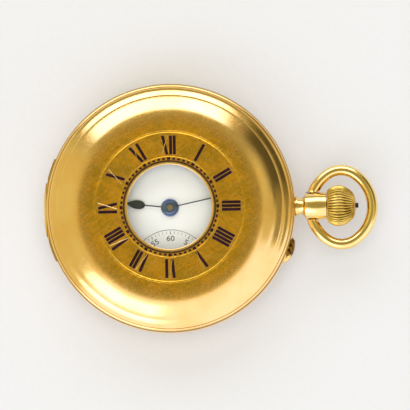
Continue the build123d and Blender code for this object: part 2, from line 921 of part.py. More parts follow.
def letter_strokes(letter, left):
    """The enamelled strokes of one letter as (foot, head) pairs of left and right edges."""
    if letter == "I":
        return [((left, left + numeral_stroke), (left, left + numeral_stroke))]
    width = letter_v_width if letter == "V" else letter_x_width
    foot = (left + width / 2 - numeral_stroke / 2, left + width / 2 + numeral_stroke / 2)
    if letter == "V":
        return [(foot, (left, left + numeral_stroke))]
    return [((left + width - numeral_stroke, left + width), (left, left + numeral_stroke))]


def letter_width(letter):
    """The width that a letter takes."""
    return {"I": numeral_stroke, "V": letter_v_width, "X": letter_x_width}[letter]


def figure_prisms(hour, z0, z1):
    """The enamelled strokes of one chapter figure."""
    letters = figure_letters(hour)
    total = sum(letter_width(letter) for letter in letters) + numeral_spacing * (len(letters) - 1)
    left = -total / 2
    strokes = []
    for letter in letters:
        for foot, head in letter_strokes(letter, left):
            corners = [(foot[0], numeral_inner_radius), (foot[1], numeral_inner_radius),
                       (head[1], numeral_outer_radius), (head[0], numeral_outer_radius)]
            strokes.append(prism([clock_point(s, t, hour) for s, t in corners], z0, z1))
        left += letter_width(letter) + numeral_spacing
    return strokes


def cover_figures(z0, z1):
    """All strokes of the twelve figures."""
    return [stroke for hour in range(1, 13) for stroke in figure_prisms(hour, z0, z1)]


def make_front_cover():
    arc_mid = cover_flat_radius + shoulder_run / 2
    inner_mid = cover_flat_radius + (cover_inner_end - cover_flat_radius) / 2
    rim_swell_z = band_z1 + cover_rim_swell_height
    step_z = cover_z - cover_step_drop
    rim_mid = ((cover_step_radius + cover_rim_radius) / 2 + cover_wall / 2, (step_z + rim_swell_z) / 2
               + cover_wall / 2)
    steps = [(aperture_radius, cover_z), (cover_flat_radius, cover_z),
             ((arc_mid, arc_z(cover_flat_radius, cover_arc_z, cover_arc, arc_mid)),
              (cover_shoulder_radius, cover_z - cover_shoulder_drop)),
             (cover_step_radius, step_z), (rim_mid, (cover_rim_radius, rim_swell_z)),
             (cover_rim_radius, band_z1), (cover_rim_inner_radius, band_z1),
             (cover_rim_inner_radius, band_z1 + cover_rim_inner_height),
             (cover_inner_end, arc_z(cover_flat_radius, cover_arc_z, cover_inner_arc, cover_inner_end)),
             ((inner_mid, arc_z(cover_flat_radius, cover_arc_z, cover_inner_arc, inner_mid)),
              (cover_flat_radius, cover_inner_z)),
             (aperture_radius, cover_inner_z)]
    cover = turned(profile_path(steps))
    half_groove = chapter_groove_width / 2
    cover -= ring(chapter_radius + half_groove, chapter_radius - half_groove,
                  cover_z - chapter_groove_depth, cover_z + overrun)
    cover -= Compound(cover_figures(cover_z - numeral_depth, cover_z))
    hook_half = lock_hook_width / 2 + swing_gap
    catch = slab(cover_rim_inner_radius - overrun, case_spring_nose_outer + lock_hook_reach + face_gap,
                 -hook_half, hook_half, band_z1 + case_spring_nose_height - lock_hook_height - swing_gap,
                 band_z1 + case_spring_nose_height + swing_gap)
    cover -= Rot(0, 0, lock_spring_nose_angle) * catch
    web = slab(-hinge_x, -hinge_x + hinge_web, -hinge_mid_half, hinge_mid_half, band_z1,
               band_z1 + knuckle_radius)
    return middle_knuckle(cover, -hinge_x, band_z1, knuckle_radius, hinge_pin_radius, hinge_mid_half,
                          hinge_end_half, web)


def make_cover_glass_ring():
    top = cover_z + cover_ring_proud
    lip_z = top - cover_ring_lip
    outer = aperture_radius - slip_gap
    flange_z = cover_inner_z - cover_ring_flange_height
    return lathe([(cover_ring_inner_radius, lip_z), (cover_ring_inner_radius, top), (outer, top),
                  (outer, cover_inner_z), (outer + cover_ring_flange, cover_inner_z),
                  (outer + cover_ring_flange, flange_z), (outer - cover_ring_wall, flange_z),
                  (outer - cover_ring_wall, lip_z)])


def make_cover_glass():
    edge_top = cover_z + cover_ring_proud - cover_ring_lip
    edge_radius = aperture_radius - slip_gap - cover_ring_wall - slip_gap
    eye = cover_ring_inner_radius - face_gap
    edge_bottom = edge_top - cover_glass_thick
    sphere = (eye ** 2 + cover_glass_dome ** 2) / (2 * cover_glass_dome)
    half_way = eye / 2
    half_rise = sqrt(sphere ** 2 - half_way ** 2) - (sphere - cover_glass_dome)
    return turned(profile_path([(0, edge_top + cover_glass_dome),
                                ((half_way, edge_top + half_rise), (eye, edge_top)),
                                (edge_radius, edge_top), (edge_radius, edge_bottom), (eye, edge_bottom),
                                ((half_way, edge_bottom + half_rise), (0, edge_bottom + cover_glass_dome))]))


def make_back_cover():
    run = back_shoulder_radius - back_flat_radius
    arc = (run ** 2 + back_shoulder_height ** 2) / (2 * back_shoulder_height)
    inner_arc = arc - back_wall

    def low(radius, at_r):
        return arc - sqrt(radius ** 2 - (at_r - back_flat_radius) ** 2)

    mid, inner_mid = back_flat_radius + run / 2, (back_flat_radius + back_rim_inner_radius) / 2
    steps = [(0, 0), (back_flat_radius, 0), ((mid, low(arc, mid)), (back_shoulder_radius,
                                                                    back_shoulder_height)),
             (back_rim_radius, band_z0 - back_rim_height), (back_rim_radius, band_z0),
             (back_rim_inner_radius, band_z0), (back_rim_inner_radius, low(inner_arc, back_rim_inner_radius)),
             ((inner_mid, low(inner_arc, inner_mid)), (back_flat_radius, back_wall)), (0, back_wall)]
    cover = turned(profile_path(steps))
    room = cuvette_end_half + face_gap
    cover -= rod_y(cuvette_knuckle_radius + swing_gap + face_gap, -cuvette_hinge_x, -room, room, band_z0)
    web = slab(-hinge_x, -hinge_x + hinge_web, -hinge_mid_half, hinge_mid_half, band_z0 - knuckle_radius,
               band_z0)
    return middle_knuckle(cover, -hinge_x, band_z0, knuckle_radius, hinge_pin_radius, hinge_mid_half,
                          hinge_end_half, web)


def make_cuvette():
    top = band_z0 + cuvette_rebate_height - cuvette_rim_top_gap
    inner = cuvette_rim_radius - cuvette_rim_wall
    shell = lathe([(0, cuvette_level), (cuvette_flat_radius, cuvette_level),
                   (cuvette_rim_radius, top - cuvette_rim_height), (cuvette_rim_radius, top), (inner, top),
                   (inner, top - cuvette_rim_height + cuvette_wall / 2),
                   (cuvette_flat_radius - cuvette_wall / 4, cuvette_level + cuvette_wall),
                   (0, cuvette_level + cuvette_wall)])
    web = slab(-cuvette_hinge_x, -inner, -cuvette_mid_half, cuvette_mid_half,
               band_z0 - cuvette_knuckle_radius, band_z0)
    return middle_knuckle(shell, -cuvette_hinge_x, band_z0, cuvette_knuckle_radius, cuvette_pin_radius,
                          cuvette_mid_half, cuvette_end_half, web)


def make_inner_bezel():
    inner_seat = seat_radius + upstand_width + slip_gap
    over_upstand = band_z1 + upstand_height + bezel_groove_clear
    glass_edge = bezel_inner_radius + bezel_ledge
    top = band_z1 + bezel_top_height
    ledge_low = bezel_glass_z0 - bezel_ledge_height
    bezel = lathe([(inner_seat, band_z1), (bezel_radius, band_z1), (bezel_radius, band_z1 + bezel_side_height),
                   (bezel_top_radius, top), (glass_edge, top), (glass_edge, bezel_glass_z0),
                   (bezel_inner_radius, bezel_glass_z0), (bezel_inner_radius, ledge_low),
                   (seat_radius, over_upstand + bezel_ledge_height), (seat_radius, over_upstand),
                   (inner_seat, over_upstand)])
    half = (case_spring_nose_width + case_slot_gap) / 2
    notch = slab(bezel_radius - bezel_notch_depth, bezel_radius + overrun, -half, half, band_z1 - overrun,
                 band_z1 + case_spring_nose_height + swing_gap)
    return bezel - Rot(0, 0, lock_spring_nose_angle) * notch


def make_dial_glass():
    return disc(bezel_inner_radius + bezel_ledge - slip_gap, bezel_glass_z0, bezel_glass_z1)


# Bow, crown and stem

def make_bow():
    side_shift = bow_half_width - bow_end_radius
    offset = (bow_half_length - bow_end_radius)
    big_shift = (side_shift ** 2 - offset ** 2) / (2 * offset)
    big_radius = bow_half_length + big_shift
    left = bow_centre_x + big_shift
    right = bow_centre_x - big_shift
    start_y = sqrt(big_radius ** 2 - (left - bow_pivot_x) ** 2)
    turn = degrees(atan2(side_shift, big_shift))
    pivot_turn = degrees(asin(start_y / big_radius))

    def on_left(angle):
        return (left - big_radius * cos(radians(angle)), big_radius * sin(radians(angle)), stem_z)

    def on_right(angle):
        return (right + big_radius * cos(radians(angle)), big_radius * sin(radians(angle)), stem_z)

    top = (bow_centre_x, bow_half_width, stem_z)
    bottom = (bow_centre_x, -bow_half_width, stem_z)
    wire = [ThreePointArc(on_left(pivot_turn), on_left((pivot_turn + turn) / 2), on_left(turn)),
            ThreePointArc(on_left(turn), top, on_right(turn)),
            ThreePointArc(on_right(turn), on_right(0), on_right(-turn)),
            ThreePointArc(on_right(-turn), bottom, on_left(-turn)),
            ThreePointArc(on_left(-turn), on_left(-(pivot_turn + turn) / 2), on_left(-pivot_turn))]
    path = Wire(wire)
    section = Plane(origin=path @ 0, z_dir=path % 0) * Circle(bow_wire_radius)
    bow = sweep(section, path=path)
    clear_y = head_radius + bow_head_gap
    bow -= slab(bow_pivot_x - 2 * bow_wire_radius, crown_x, -clear_y, clear_y,
                stem_z - 2 * bow_wire_radius, stem_z + 2 * bow_wire_radius)
    for side in (-1, 1):
        y0, y1 = sorted((side * (head_radius - bow_pivot_depth + face_gap), side * (clear_y + bow_wire_radius)))
        bow += rod_y(bow_pivot_radius, bow_pivot_x, y0, y1, stem_z)
    return bow


def crown_arc(drop):
    """The side of the crown as three points, lowered towards the axis."""
    belly_x = crown_x + crown_belly_share * crown_length
    return [(crown_x, crown_base_radius - drop), (belly_x, crown_belly_radius - drop),
            (crown_x + crown_length, crown_end_radius - drop)]


def crown_face(points, closing):
    """A face in the XZ plane from an arc over the stem axis and closing points."""
    start, via, end = [(x, 0, stem_z + radius) for x, radius in points]
    chain = [(x, 0, stem_z + radius) for x, radius in closing]
    return make_face([ThreePointArc(start, via, end)] + [Polyline(end, *chain, start)])


def make_crown():
    stem_axis = Axis((0, 0, stem_z), (1, 0, 0))
    end_x = crown_x + crown_length
    core = crown_face(crown_arc(crown_rib_height),
                      [(end_x + crown_dome_rise, crown_dome_radius), (end_x + crown_dome_rise, 0),
                       (crown_x, 0)])
    crown = revolve(core, axis=stem_axis)
    outer, inner = crown_arc(0), crown_arc(crown_rib_height + face_gap)
    top = ThreePointArc(*[(x, 0, stem_z + radius) for x, radius in outer])
    bottom = ThreePointArc(*[(x, 0, stem_z + radius) for x, radius in inner])
    rib_face = make_face([top, bottom, Line(top @ 0, bottom @ 0), Line(top @ 1, bottom @ 1)])
    rib_turn = crown_rib_share * 360 / crown_rib_count
    rib = revolve(rib_face, axis=stem_axis, revolution_arc=rib_turn)
    spin = Pos(0, 0, stem_z)
    ribs = [spin * Rot(index * 360 / crown_rib_count, 0, 0) * spin.inverse() * rib
            for index in range(crown_rib_count)]
    crown = crown.fuse(*ribs)
    crown += rod_x(crown_base_radius, crown_x, crown_x + crown_skirt_depth / 4, 0, stem_z)
    crown -= rod_x(crown_skirt_bore_radius, crown_x - overrun, crown_x + crown_skirt_depth, 0, stem_z)
    crown -= rod_x(stem_radius + slip_gap, crown_x, crown_x + stem_depth_in_crown, 0, stem_z)
    return crown - rod_x(crown_tip_radius + slip_gap, crown_x, end_x + overrun, 0, stem_z)


def make_stem():
    half = stem_square / 2
    stem = rod_x(stem_pilot_radius, stem_start_x, stem_square_x + face_gap, 0, stem_z)
    stem += slab(stem_square_x, stem_round_x, -half, half, stem_z - half, stem_z + half)
    stem += rod_x(stem_radius, stem_round_x, crown_x + stem_depth_in_crown, 0, stem_z)
    tip_x = crown_x + crown_length + crown_dome_rise + crown_tip_rise
    stem += rod_x(crown_tip_radius, crown_x, tip_x, 0, stem_z)
    stem += rod_x(stem_collar_radius, sleeve_start_x - face_gap - stem_collar_length,
                  sleeve_start_x - face_gap, 0, stem_z)
    return stem


def make_push_sleeve():
    end_x = crown_x + crown_skirt_depth - sleeve_end_gap
    sleeve = rod_x(sleeve_radius, sleeve_start_x, end_x, 0, stem_z)
    sleeve += rod_x(sleeve_flange_radius, sleeve_start_x, sleeve_start_x + sleeve_flange_length, 0, stem_z)
    return sleeve - rod_x(stem_radius + run_gap, sleeve_start_x - overrun, end_x + overrun, 0, stem_z)


# Plates and bridges

def half_plane(angle, edge):
    """The large block on the far side of a line, at a distance from the centre."""
    far = 3 * band_radius
    block = slab(edge, far, -far, far, bridge_z0 - overrun, plate_z0 + overrun)
    return Rot(0, 0, angle) * block


def stem_bore(from_x):
    """The round way for the stem through the plate and the bridge."""
    return rod_x(stem_radius + run_gap, from_x, seat_radius + overrun, 0, stem_z)


def make_main_plate():
    edge = lip_radius - plate_clear
    flange = seat_radius - plate_clear
    plate = disc(edge, plate_z0, lip_z1) + disc(flange, lip_z1, dial_z0)
    plate -= disc(dial_seat_inner_radius, plate_z1, dial_z0 + overrun)
    centre_tip = centre_module * (centre_teeth / 2 + 1)
    pinion_tip = centre_module * (third_pinion_teeth / 2 + 1)
    low = plate_z0 - overrun
    cutters = [disc(centre_tip + 2 * swing_gap, low, pocket_z),
               disc(pinion_tip + 2 * swing_gap, low, pocket_z, third_at),
               disc(centre_shaft_radius + run_gap, low, plate_z1 + overrun),
               disc(barrel_arbor_radius + run_gap, low, plate_z1 + overrun, barrel_at),
               stem_bore(pilot_post_x1),
               rod_x(pendant_counterbore_radius, edge - crown_travel, seat_radius + overrun, 0, stem_z),
               slab(clutch_x0 - clutch_travel - 2 * swing_gap, winding_pinion_x0, -clutch_radius
                    - 2 * swing_gap, clutch_radius + 2 * swing_gap, low, plate_z1 + overrun)]
    pinion_room = winding_pinion_module * (winding_pinion_teeth / 2 + 1) + 2 * swing_gap
    cutters.append(slab(winding_pinion_x0 - swing_gap, winding_pinion_x1 + swing_gap, -pinion_room,
                        pinion_room, low, plate_z1 + overrun))
    pocket = motion_module * (setting_teeth / 2 + 1) + setting_pocket_gap
    cutters.append(disc(pocket, plate_z1 - setting_wheel_drop - setting_pocket_gap / 2,
                        plate_z1 + overrun, setting_at))
    for spot in jewelled + [pallet_at, balance_at]:
        cutters.append(disc(jewel_radius, low, plate_z1 + overrun, spot))
    for spot in train_feet + barrel_feet + [cock_foot_at]:
        cutters.append(disc(screw_shank_radius, low, plate_z0 + screw_depth_in_plate, spot))
    cutters.append(disc(small_screw_shank_radius, low, plate_z0 + screw_depth_in_plate / 2, pallet_foot_at))
    for angle in case_screw_angles:
        cutters.append(disc(small_screw_shank_radius, low, lip_z1, polar(case_screw_radius, angle)))
    for angle in dial_foot_angles:
        cutters.append(disc(dial_foot_radius + slip_gap, plate_z1 - dial_foot_depth, plate_z1 + overrun,
                            polar(dial_foot_distance, angle)))
    for cutter in cutters:
        plate = plate - cutter
    plate += disc(motion_post_radius, plate_z1 - face_gap, dial_z0 - swing_gap, minute_at)
    pocket_floor = plate_z1 - setting_wheel_drop - setting_pocket_gap / 2
    plate += disc(setting_post_radius, pocket_floor - face_gap, dial_z0 - 3 * swing_gap, setting_at)
    return plate


def bridge_blank():
    """The round outline that both large bridges are cut from."""
    return disc(bridge_radius, bridge_z0, bridge_z1)


def foot(at, radius, z0):
    """A pillar between a bridge and the plate."""
    return disc(radius, z0, plate_z0, at)


def screw_way(at, head_radius, z0, shank_radius):
    """The stepped hole for a bridge screw, with its head sunk level."""
    return (disc(head_radius + run_gap, z0 - overrun, z0 + screw_head_height, at)
            + disc(shank_radius, z0, plate_z0 + overrun, at))


def make_barrel_bridge():
    bridge = bridge_blank() & half_plane(split_angle, barrel_bridge_edge)
    bridge += slab(stem_foot_x0, stem_foot_x1, -stem_foot_half_width, stem_foot_half_width, bridge_z1,
                   plate_z0)
    bridge += slab(pilot_post_x0, pilot_post_x1, -pilot_post_half_width, pilot_post_half_width, bridge_z1,
                   plate_z0)
    for at in barrel_feet:
        bridge += foot(at, foot_radius, bridge_z1)
    ratchet_tip = winding_module * (ratchet_teeth / 2 + 1) + winding_recess_gap
    crown_tip = winding_module * (crown_wheel_teeth / 2 + 1) + winding_recess_gap
    ratchet_floor = bridge_z0 - ratchet_proud + ratchet_thick + face_gap
    face_floor = bridge_z0 - ratchet_proud + ratchet_thick + face_teeth_height + face_gap
    low = bridge_z0 - overrun
    pinion_room = winding_pinion_module * (winding_pinion_teeth / 2 + 1) + 2 * swing_gap
    cutters = [disc(ratchet_tip, low, ratchet_floor, barrel_at),
               ring(crown_tip, crown_wheel_bore_radius - run_gap, low, face_floor, crown_wheel_at),
               slab(winding_pinion_x0 - swing_gap, stem_foot_x0, -pinion_room, pinion_room,
                    bridge_z0 + face_gap, plate_z0 + overrun),
               disc(barrel_arbor_radius + run_gap, low, bridge_z1 + overrun, barrel_at),
               disc(screw_shank_radius, low, bridge_z1 + overrun, crown_wheel_at),
               stem_bore(stem_foot_x0 - overrun / 2),
               rod_x(stem_pilot_radius + run_gap, pilot_post_x0 - overrun, pilot_post_x1 + overrun, 0,
                     stem_z),
               disc(small_screw_shank_radius + slip_gap, low, bridge_z1, click_at)]
    for at in barrel_feet:
        cutters.append(screw_way(at, screw_head_radius, bridge_z0, screw_shank_radius))
    for cutter in cutters:
        bridge = bridge - cutter
    bridge = bridge - crown_screw_room()
    return bridge


def crown_screw_room():
    """The boss under the crown wheel is lowered so that its screw's collar has room."""
    return disc(crown_wheel_bore_radius + run_gap, bridge_z0 - overrun,
                bridge_z0 - ratchet_proud + ratchet_thick + face_teeth_height + face_gap, crown_wheel_at)


def make_train_bridge():
    bridge = bridge_blank() - half_plane(split_angle, train_bridge_edge)
    bridge -= half_plane(split_angle + 90, train_bridge_side)
    bridge -= disc(balance_clear, bridge_z0 - overrun, plate_z0, balance_at)
    for at in train_feet:
        bridge += foot(at, foot_radius, bridge_z1)
        bridge -= screw_way(at, screw_head_radius, bridge_z0, screw_shank_radius)
    for at in jewelled:
        bridge -= disc(jewel_radius, bridge_z0 - overrun, bridge_z1 + overrun, at)
    return bridge - disc(centre_pivot_radius + run_gap, bridge_z0 - overrun, bridge_z1 + overrun)


def make_balance_cock():
    arm = tapered_arm(cock_foot_at, cock_foot_radius, balance_at, cock_end_radius, cock_z0, cock_z1)
    cock = arm + foot(cock_foot_at, cock_foot_radius, cock_z1)
    cock -= screw_way(cock_foot_at, screw_head_radius, cock_z0, screw_shank_radius)
    cock -= disc(jewel_radius, cock_z0 - overrun, cock_z1 + overrun, balance_at)
    stud = disc(stud_radius, cock_z1, hairspring_z0 + hairspring_height, stud_at)
    return cock + stud


def make_pallet_cock():
    z0 = plate_z0 - pallet_cock_drop - pallet_cock_thick
    z1 = z0 + pallet_cock_thick
    cock = tapered_arm(pallet_foot_at, pallet_cock_radius, pallet_at, jewel_radius + swing_gap * 2, z0, z1)
    cock += foot(pallet_foot_at, pallet_cock_radius, z1)
    cock -= disc(small_screw_head_radius + run_gap, z0 - overrun, z0 + small_screw_head_height,
                 pallet_foot_at)
    cock -= disc(small_screw_shank_radius, z0, plate_z0 + overrun, pallet_foot_at)
    return cock - disc(pivot_radius + slip_gap, z0 - overrun, z1 + overrun, pallet_at)


def make_bridge_screws():
    screws = []
    end = plate_z0 + screw_depth_in_plate
    for at in train_feet + barrel_feet:
        screws.append(screw(at, screw_head_radius, bridge_z0, screw_head_height, screw_shank_radius, end))
    screws.append(screw(cock_foot_at, screw_head_radius, cock_z0, screw_head_height, screw_shank_radius, end))
    pallet_z0 = plate_z0 - pallet_cock_drop - pallet_cock_thick
    screws.append(screw(pallet_foot_at, small_screw_head_radius, pallet_z0, small_screw_head_height,
                        small_screw_shank_radius, plate_z0 + screw_depth_in_plate / 2))
    return screws


def make_case_screws():
    z0 = lip_z0 - case_screw_head_height
    screws = [screw(polar(case_screw_radius, angle), case_screw_head_radius, z0, case_screw_head_height,
                    small_screw_shank_radius, lip_z1) for angle in case_screw_angles]
    return screws + [case_spring_screw(lock_spring_root_angle), case_spring_screw(lift_spring_root_angle)]


def plate_jewels():
    z0 = pocket_z + jewel_level / 2
    spots = [jewel(at, z0, pivot_radius + slip_gap) for at in (third_at, escape_at, pallet_at)]
    spots.append(jewel(seconds_at, z0, seconds_pivot_radius + slip_gap))
    spots.append(jewel(balance_at, z0, pivot_radius + slip_gap))
    return spots


def bridge_jewels():
    z0 = bridge_z0 + jewel_level
    spots = [jewel(at, z0, pivot_radius + slip_gap) for at in jewelled]
    return spots + [jewel(balance_at, cock_z0 + jewel_level / 2, pivot_radius + slip_gap)]


# Time train

centre_wheel_z = plate_z0 - centre_wheel_drop - wheel_thick
fourth_wheel_z = plate_z0 - fourth_wheel_drop - wheel_thick
escape_wheel_z = plate_z0 - escape_wheel_drop - wheel_thick
third_wheel_z = plate_z0 - third_wheel_drop - wheel_thick
barrel_z1 = plate_z0 - barrel_drop
barrel_z0 = barrel_z1 - barrel_height
jewel_top_z = pocket_z + jewel_level / 2 + jewel_thick
jewel_low_z = bridge_z0 + jewel_level
centre_phase = 0.0
third_pinion_phase = mesh_phase(centre_phase, centre_teeth, third_pinion_teeth, bearing(centre_at, third_at))
fourth_pinion_phase = mesh_phase(0.0, third_teeth, fourth_pinion_teeth, bearing(third_at, seconds_at))
escape_pinion_phase = mesh_phase(0.0, fourth_teeth, escape_pinion_teeth, bearing(seconds_at, escape_at))
barrel_phase = mesh_phase(0.0, centre_pinion_teeth, barrel_teeth, bearing(centre_at, barrel_at))
minute_phase = mesh_phase(0.0, cannon_teeth, minute_teeth, bearing(centre_at, minute_at))
setting_phase = mesh_phase(minute_phase, minute_teeth, setting_teeth, bearing(minute_at, setting_at))
hour_phase = mesh_phase(0.0, minute_pinion_teeth, hour_teeth, bearing(minute_at, centre_at))
crown_wheel_phase = mesh_phase(0.0, ratchet_teeth, crown_wheel_teeth, bearing(barrel_at, crown_wheel_at))


def pinion_with_arbor(teeth, module, phase, at, pinion_z0, pinion_z1, upper_end, upper_radius):
    """A steel arbor with pivots at both ends and a toothed pinion on it."""
    low_shoulder = bridge_z1 + face_gap
    high_shoulder = pocket_z + face_gap
    arbor = stepped([(pivot_radius, jewel_low_z, low_shoulder), (arbor_radius, low_shoulder, high_shoulder),
                     (upper_radius, high_shoulder, upper_end)], at)
    return arbor + toothed(teeth, module, pinion_z0, pinion_z1, phase, at)


def make_centre_wheel():
    """The centre wheel, riveted on its pinion and arbor."""
    ring_z0 = barrel_z1 - face_gap - barrel_ring_height
    arbor = stepped([(centre_pivot_radius, bridge_z0 + face_gap, bridge_z1 + face_gap),
                     (centre_arbor_radius, bridge_z1 + face_gap, centre_wheel_z + wheel_thick),
                     (centre_shaft_radius, centre_wheel_z + wheel_thick, plate_z1),
                     (centre_post_radius, plate_z1, minute_hand_z0 + 2 * hand_thick + hand_gap)])
    pinion = toothed(centre_pinion_teeth, barrel_module, ring_z0 - face_gap, centre_wheel_z, 0.0)
    return train_wheel(centre_teeth, centre_module, centre_wheel_z, centre_phase, centre_at) + arbor + pinion


def make_third():
    wheel = train_wheel(third_teeth, third_module, third_wheel_z, 0.0, third_at)
    arbor = pinion_with_arbor(third_pinion_teeth, centre_module, third_pinion_phase, third_at,
                              centre_wheel_z - face_gap / 2, plate_z0 + face_gap, jewel_top_z, pivot_radius)
    return wheel + arbor


def make_fourth():
    wheel = train_wheel(fourth_teeth, fourth_module, fourth_wheel_z, 0.0, seconds_at)
    arbor = pinion_with_arbor(fourth_pinion_teeth, third_module, fourth_pinion_phase, seconds_at,
                              third_wheel_z - face_gap, third_wheel_z + pinion_length,
                              seconds_hand_z0 + hand_thick, seconds_pivot_radius)
    return wheel + arbor


def make_escape():
    pitch = 360 / escape_teeth
    points = []
    for tooth in range(escape_teeth):
        middle = tooth * pitch
        points += [polar(escape_root_radius, middle - escape_back_share * pitch),
                   polar(escape_radius, middle - escape_tip_share * pitch),
                   polar(escape_radius, middle + 2 * escape_tip_share * pitch),
                   polar(escape_root_radius, middle)]
    z0 = escape_wheel_z
    wheel = Pos(escape_at[0], escape_at[1], 0) * prism(points, z0, z0 + wheel_thick)
    windows = crossings(escape_root_radius - wheel_arm_width, wheel_hub_radius / 2 + arbor_radius, z0,
                        z0 + wheel_thick, escape_arms, wheel_arm_width, escape_at)
    wheel -= windows
    arbor = pinion_with_arbor(escape_pinion_teeth, fourth_module, escape_pinion_phase, escape_at,
                              fourth_wheel_z - face_gap, fourth_wheel_z + wheel_thick + face_gap,
                              jewel_top_z, pivot_radius)
    return wheel + arbor


# Barrel and winding work

barrel_root_radius = barrel_module * (barrel_teeth / 2 - tooth_depth_share)


def make_barrel():
    ring_z0 = barrel_z1 - face_gap - barrel_ring_height
    drum = disc(barrel_root_radius - face_gap, barrel_z0 + barrel_cover_height, barrel_z1, barrel_at)
    drum += toothed(barrel_teeth, barrel_module, ring_z0, ring_z0 + barrel_ring_height, barrel_phase,
                    barrel_at)
    inside = barrel_root_radius - face_gap - barrel_wall
    drum -= disc(inside, barrel_z0, barrel_z1 - barrel_floor, barrel_at)
    return drum - disc(barrel_arbor_radius + barrel_bore_gap, barrel_z0, barrel_z1 + overrun, barrel_at)


def make_barrel_cover():
    return ring(barrel_root_radius - face_gap, barrel_arbor_radius + barrel_bore_gap, barrel_z0,
                barrel_z0 + barrel_cover_height, barrel_at)


def make_barrel_arbor():
    core_z0 = barrel_z0 + barrel_cover_height + face_gap
    core_z1 = barrel_z1 - barrel_floor - face_gap
    square_top = ratchet_z0 + ratchet_thick + face_gap
    half = barrel_square / 2
    arbor = stepped([(barrel_arbor_radius, square_top, core_z0), (barrel_core_radius, core_z0, core_z1),
                     (barrel_arbor_radius, core_z1, plate_z1 - face_gap)], barrel_at)
    square = Pos(barrel_at[0], barrel_at[1], 0) * slab(-half, half, -half, half, ratchet_z0, square_top)
    bore = disc(screw_shank_radius, ratchet_z0 - overrun, bridge_z1, barrel_at)
    return arbor + square - bore


def spiral_strip(start_radius, pitch, turns, strip, z0, height, at, turn=0.0):
    """A flat spiral of half circles on two centres that alternate, as one unbroken strip."""
    quarter = pitch / 4
    half_turns = 2 * turns
    edges = []
    for side in (-strip / 2, strip / 2):
        for index in range(half_turns):
            radius = start_radius + quarter + index * pitch / 2 + side
            sign = 1 if index % 2 == 0 else -1
            edges.append(half_circle(-quarter * sign, radius, sign, z0))
    inner, outer = edges[:half_turns], edges[half_turns:]
    caps = [Line(inner[0] @ 0, outer[0] @ 0), Line(inner[-1] @ 1, outer[-1] @ 1)]
    face = make_face(inner + outer + caps)
    return Pos(at[0], at[1], 0) * Rot(0, 0, turn) * extrude(face, amount=height, dir=(0, 0, 1))


def half_circle(middle, radius, sign, z):
    """Half a turn about (middle, 0), counterclockwise: above the X axis for sign 1, else below it."""
    start = (middle + sign * radius, 0, z)
    via = (middle, sign * radius, z)
    end = (middle - sign * radius, 0, z)
    return ThreePointArc(start, via, end)


def least_spiral_gap(start_radius, pitch, turns, strip):
    """The least room between one turn and the next, measured between points on the middle line."""
    points = []
    for index in range(2 * turns):
        sign = 1 if index % 2 == 0 else -1
        radius = start_radius + pitch / 4 + index * pitch / 2
        for step in range(0, 180, spiral_point_step):
            x, y = polar(sign * radius, step)
            points.append((x - sign * pitch / 4, y))
    apart = 180 // spiral_point_step
    return min(distance(points[i], points[j]) for i in range(len(points))
               for j in range(i + apart, len(points))) - strip


ratchet_z0 = bridge_z0 - ratchet_proud
mainspring_z0 = barrel_z0 + barrel_cover_height + 2 * face_gap


mainspring_start_radius = barrel_core_radius + mainspring_strip / 2 + face_gap


def make_mainspring():
    height = barrel_z1 - barrel_floor - 2 * face_gap - mainspring_z0
    return spiral_strip(mainspring_start_radius, mainspring_pitch, mainspring_turns, mainspring_strip,
                        mainspring_z0, height, barrel_at)


def make_ratchet_wheel():
    half = barrel_square / 2 + slip_gap
    wheel = toothed(ratchet_teeth, winding_module, ratchet_z0, ratchet_z0 + ratchet_thick, 0.0, barrel_at)
    square = slab(-half, half, -half, half, ratchet_z0 - overrun, ratchet_z0 + ratchet_thick + overrun)
    return wheel - Pos(barrel_at[0], barrel_at[1], 0) * square


def make_crown_wheel():
    z1 = ratchet_z0 + ratchet_thick
    wheel = toothed(crown_wheel_teeth, winding_module, ratchet_z0, z1, crown_wheel_phase)
    pitch = 360 / face_teeth
    half = face_teeth_width_share * face_teeth_radius * radians(pitch) / 2
    inner, outer = face_teeth_radius - face_teeth_length / 2, face_teeth_radius + face_teeth_length / 2
    tooth = slab(inner, outer, -half, half, z1 - face_gap, z1 + face_teeth_height)
    wheel = wheel.fuse(*[Rot(0, 0, index * pitch + pitch / 2) * tooth for index in range(face_teeth)])
    wheel -= disc(crown_wheel_bore_radius, ratchet_z0 - overrun, z1 + overrun)
    return Pos(crown_wheel_at[0], 0, 0) * wheel


def make_crown_wheel_screw():
    z0 = ratchet_z0 - small_screw_head_height
    core = disc(crown_wheel_bore_radius - run_gap, ratchet_z0,
                ratchet_z0 + ratchet_thick + face_teeth_height + face_gap, crown_wheel_at)
    return core + screw(crown_wheel_at, crown_wheel_bore_radius + small_screw_head_height, z0,
                        small_screw_head_height, screw_shank_radius, bridge_z1)


def make_ratchet_screw():
    z0 = ratchet_z0 - screw_head_height
    return screw(barrel_at, barrel_core_radius, z0, screw_head_height, screw_shank_radius, bridge_z1)


def make_winding_pinion():
    outline = gear_outline(winding_pinion_teeth, winding_pinion_module, 0.0)
    pinion = prism(outline, 0, winding_pinion_x1 - winding_pinion_x0)
    pinion = Pos(winding_pinion_x0, 0, stem_z) * Rot(0, 90, 0) * pinion
    return pinion - rod_x(stem_radius + 2 * run_gap, winding_pinion_x0 - overrun,
                          winding_pinion_x1 + overrun, 0, stem_z)


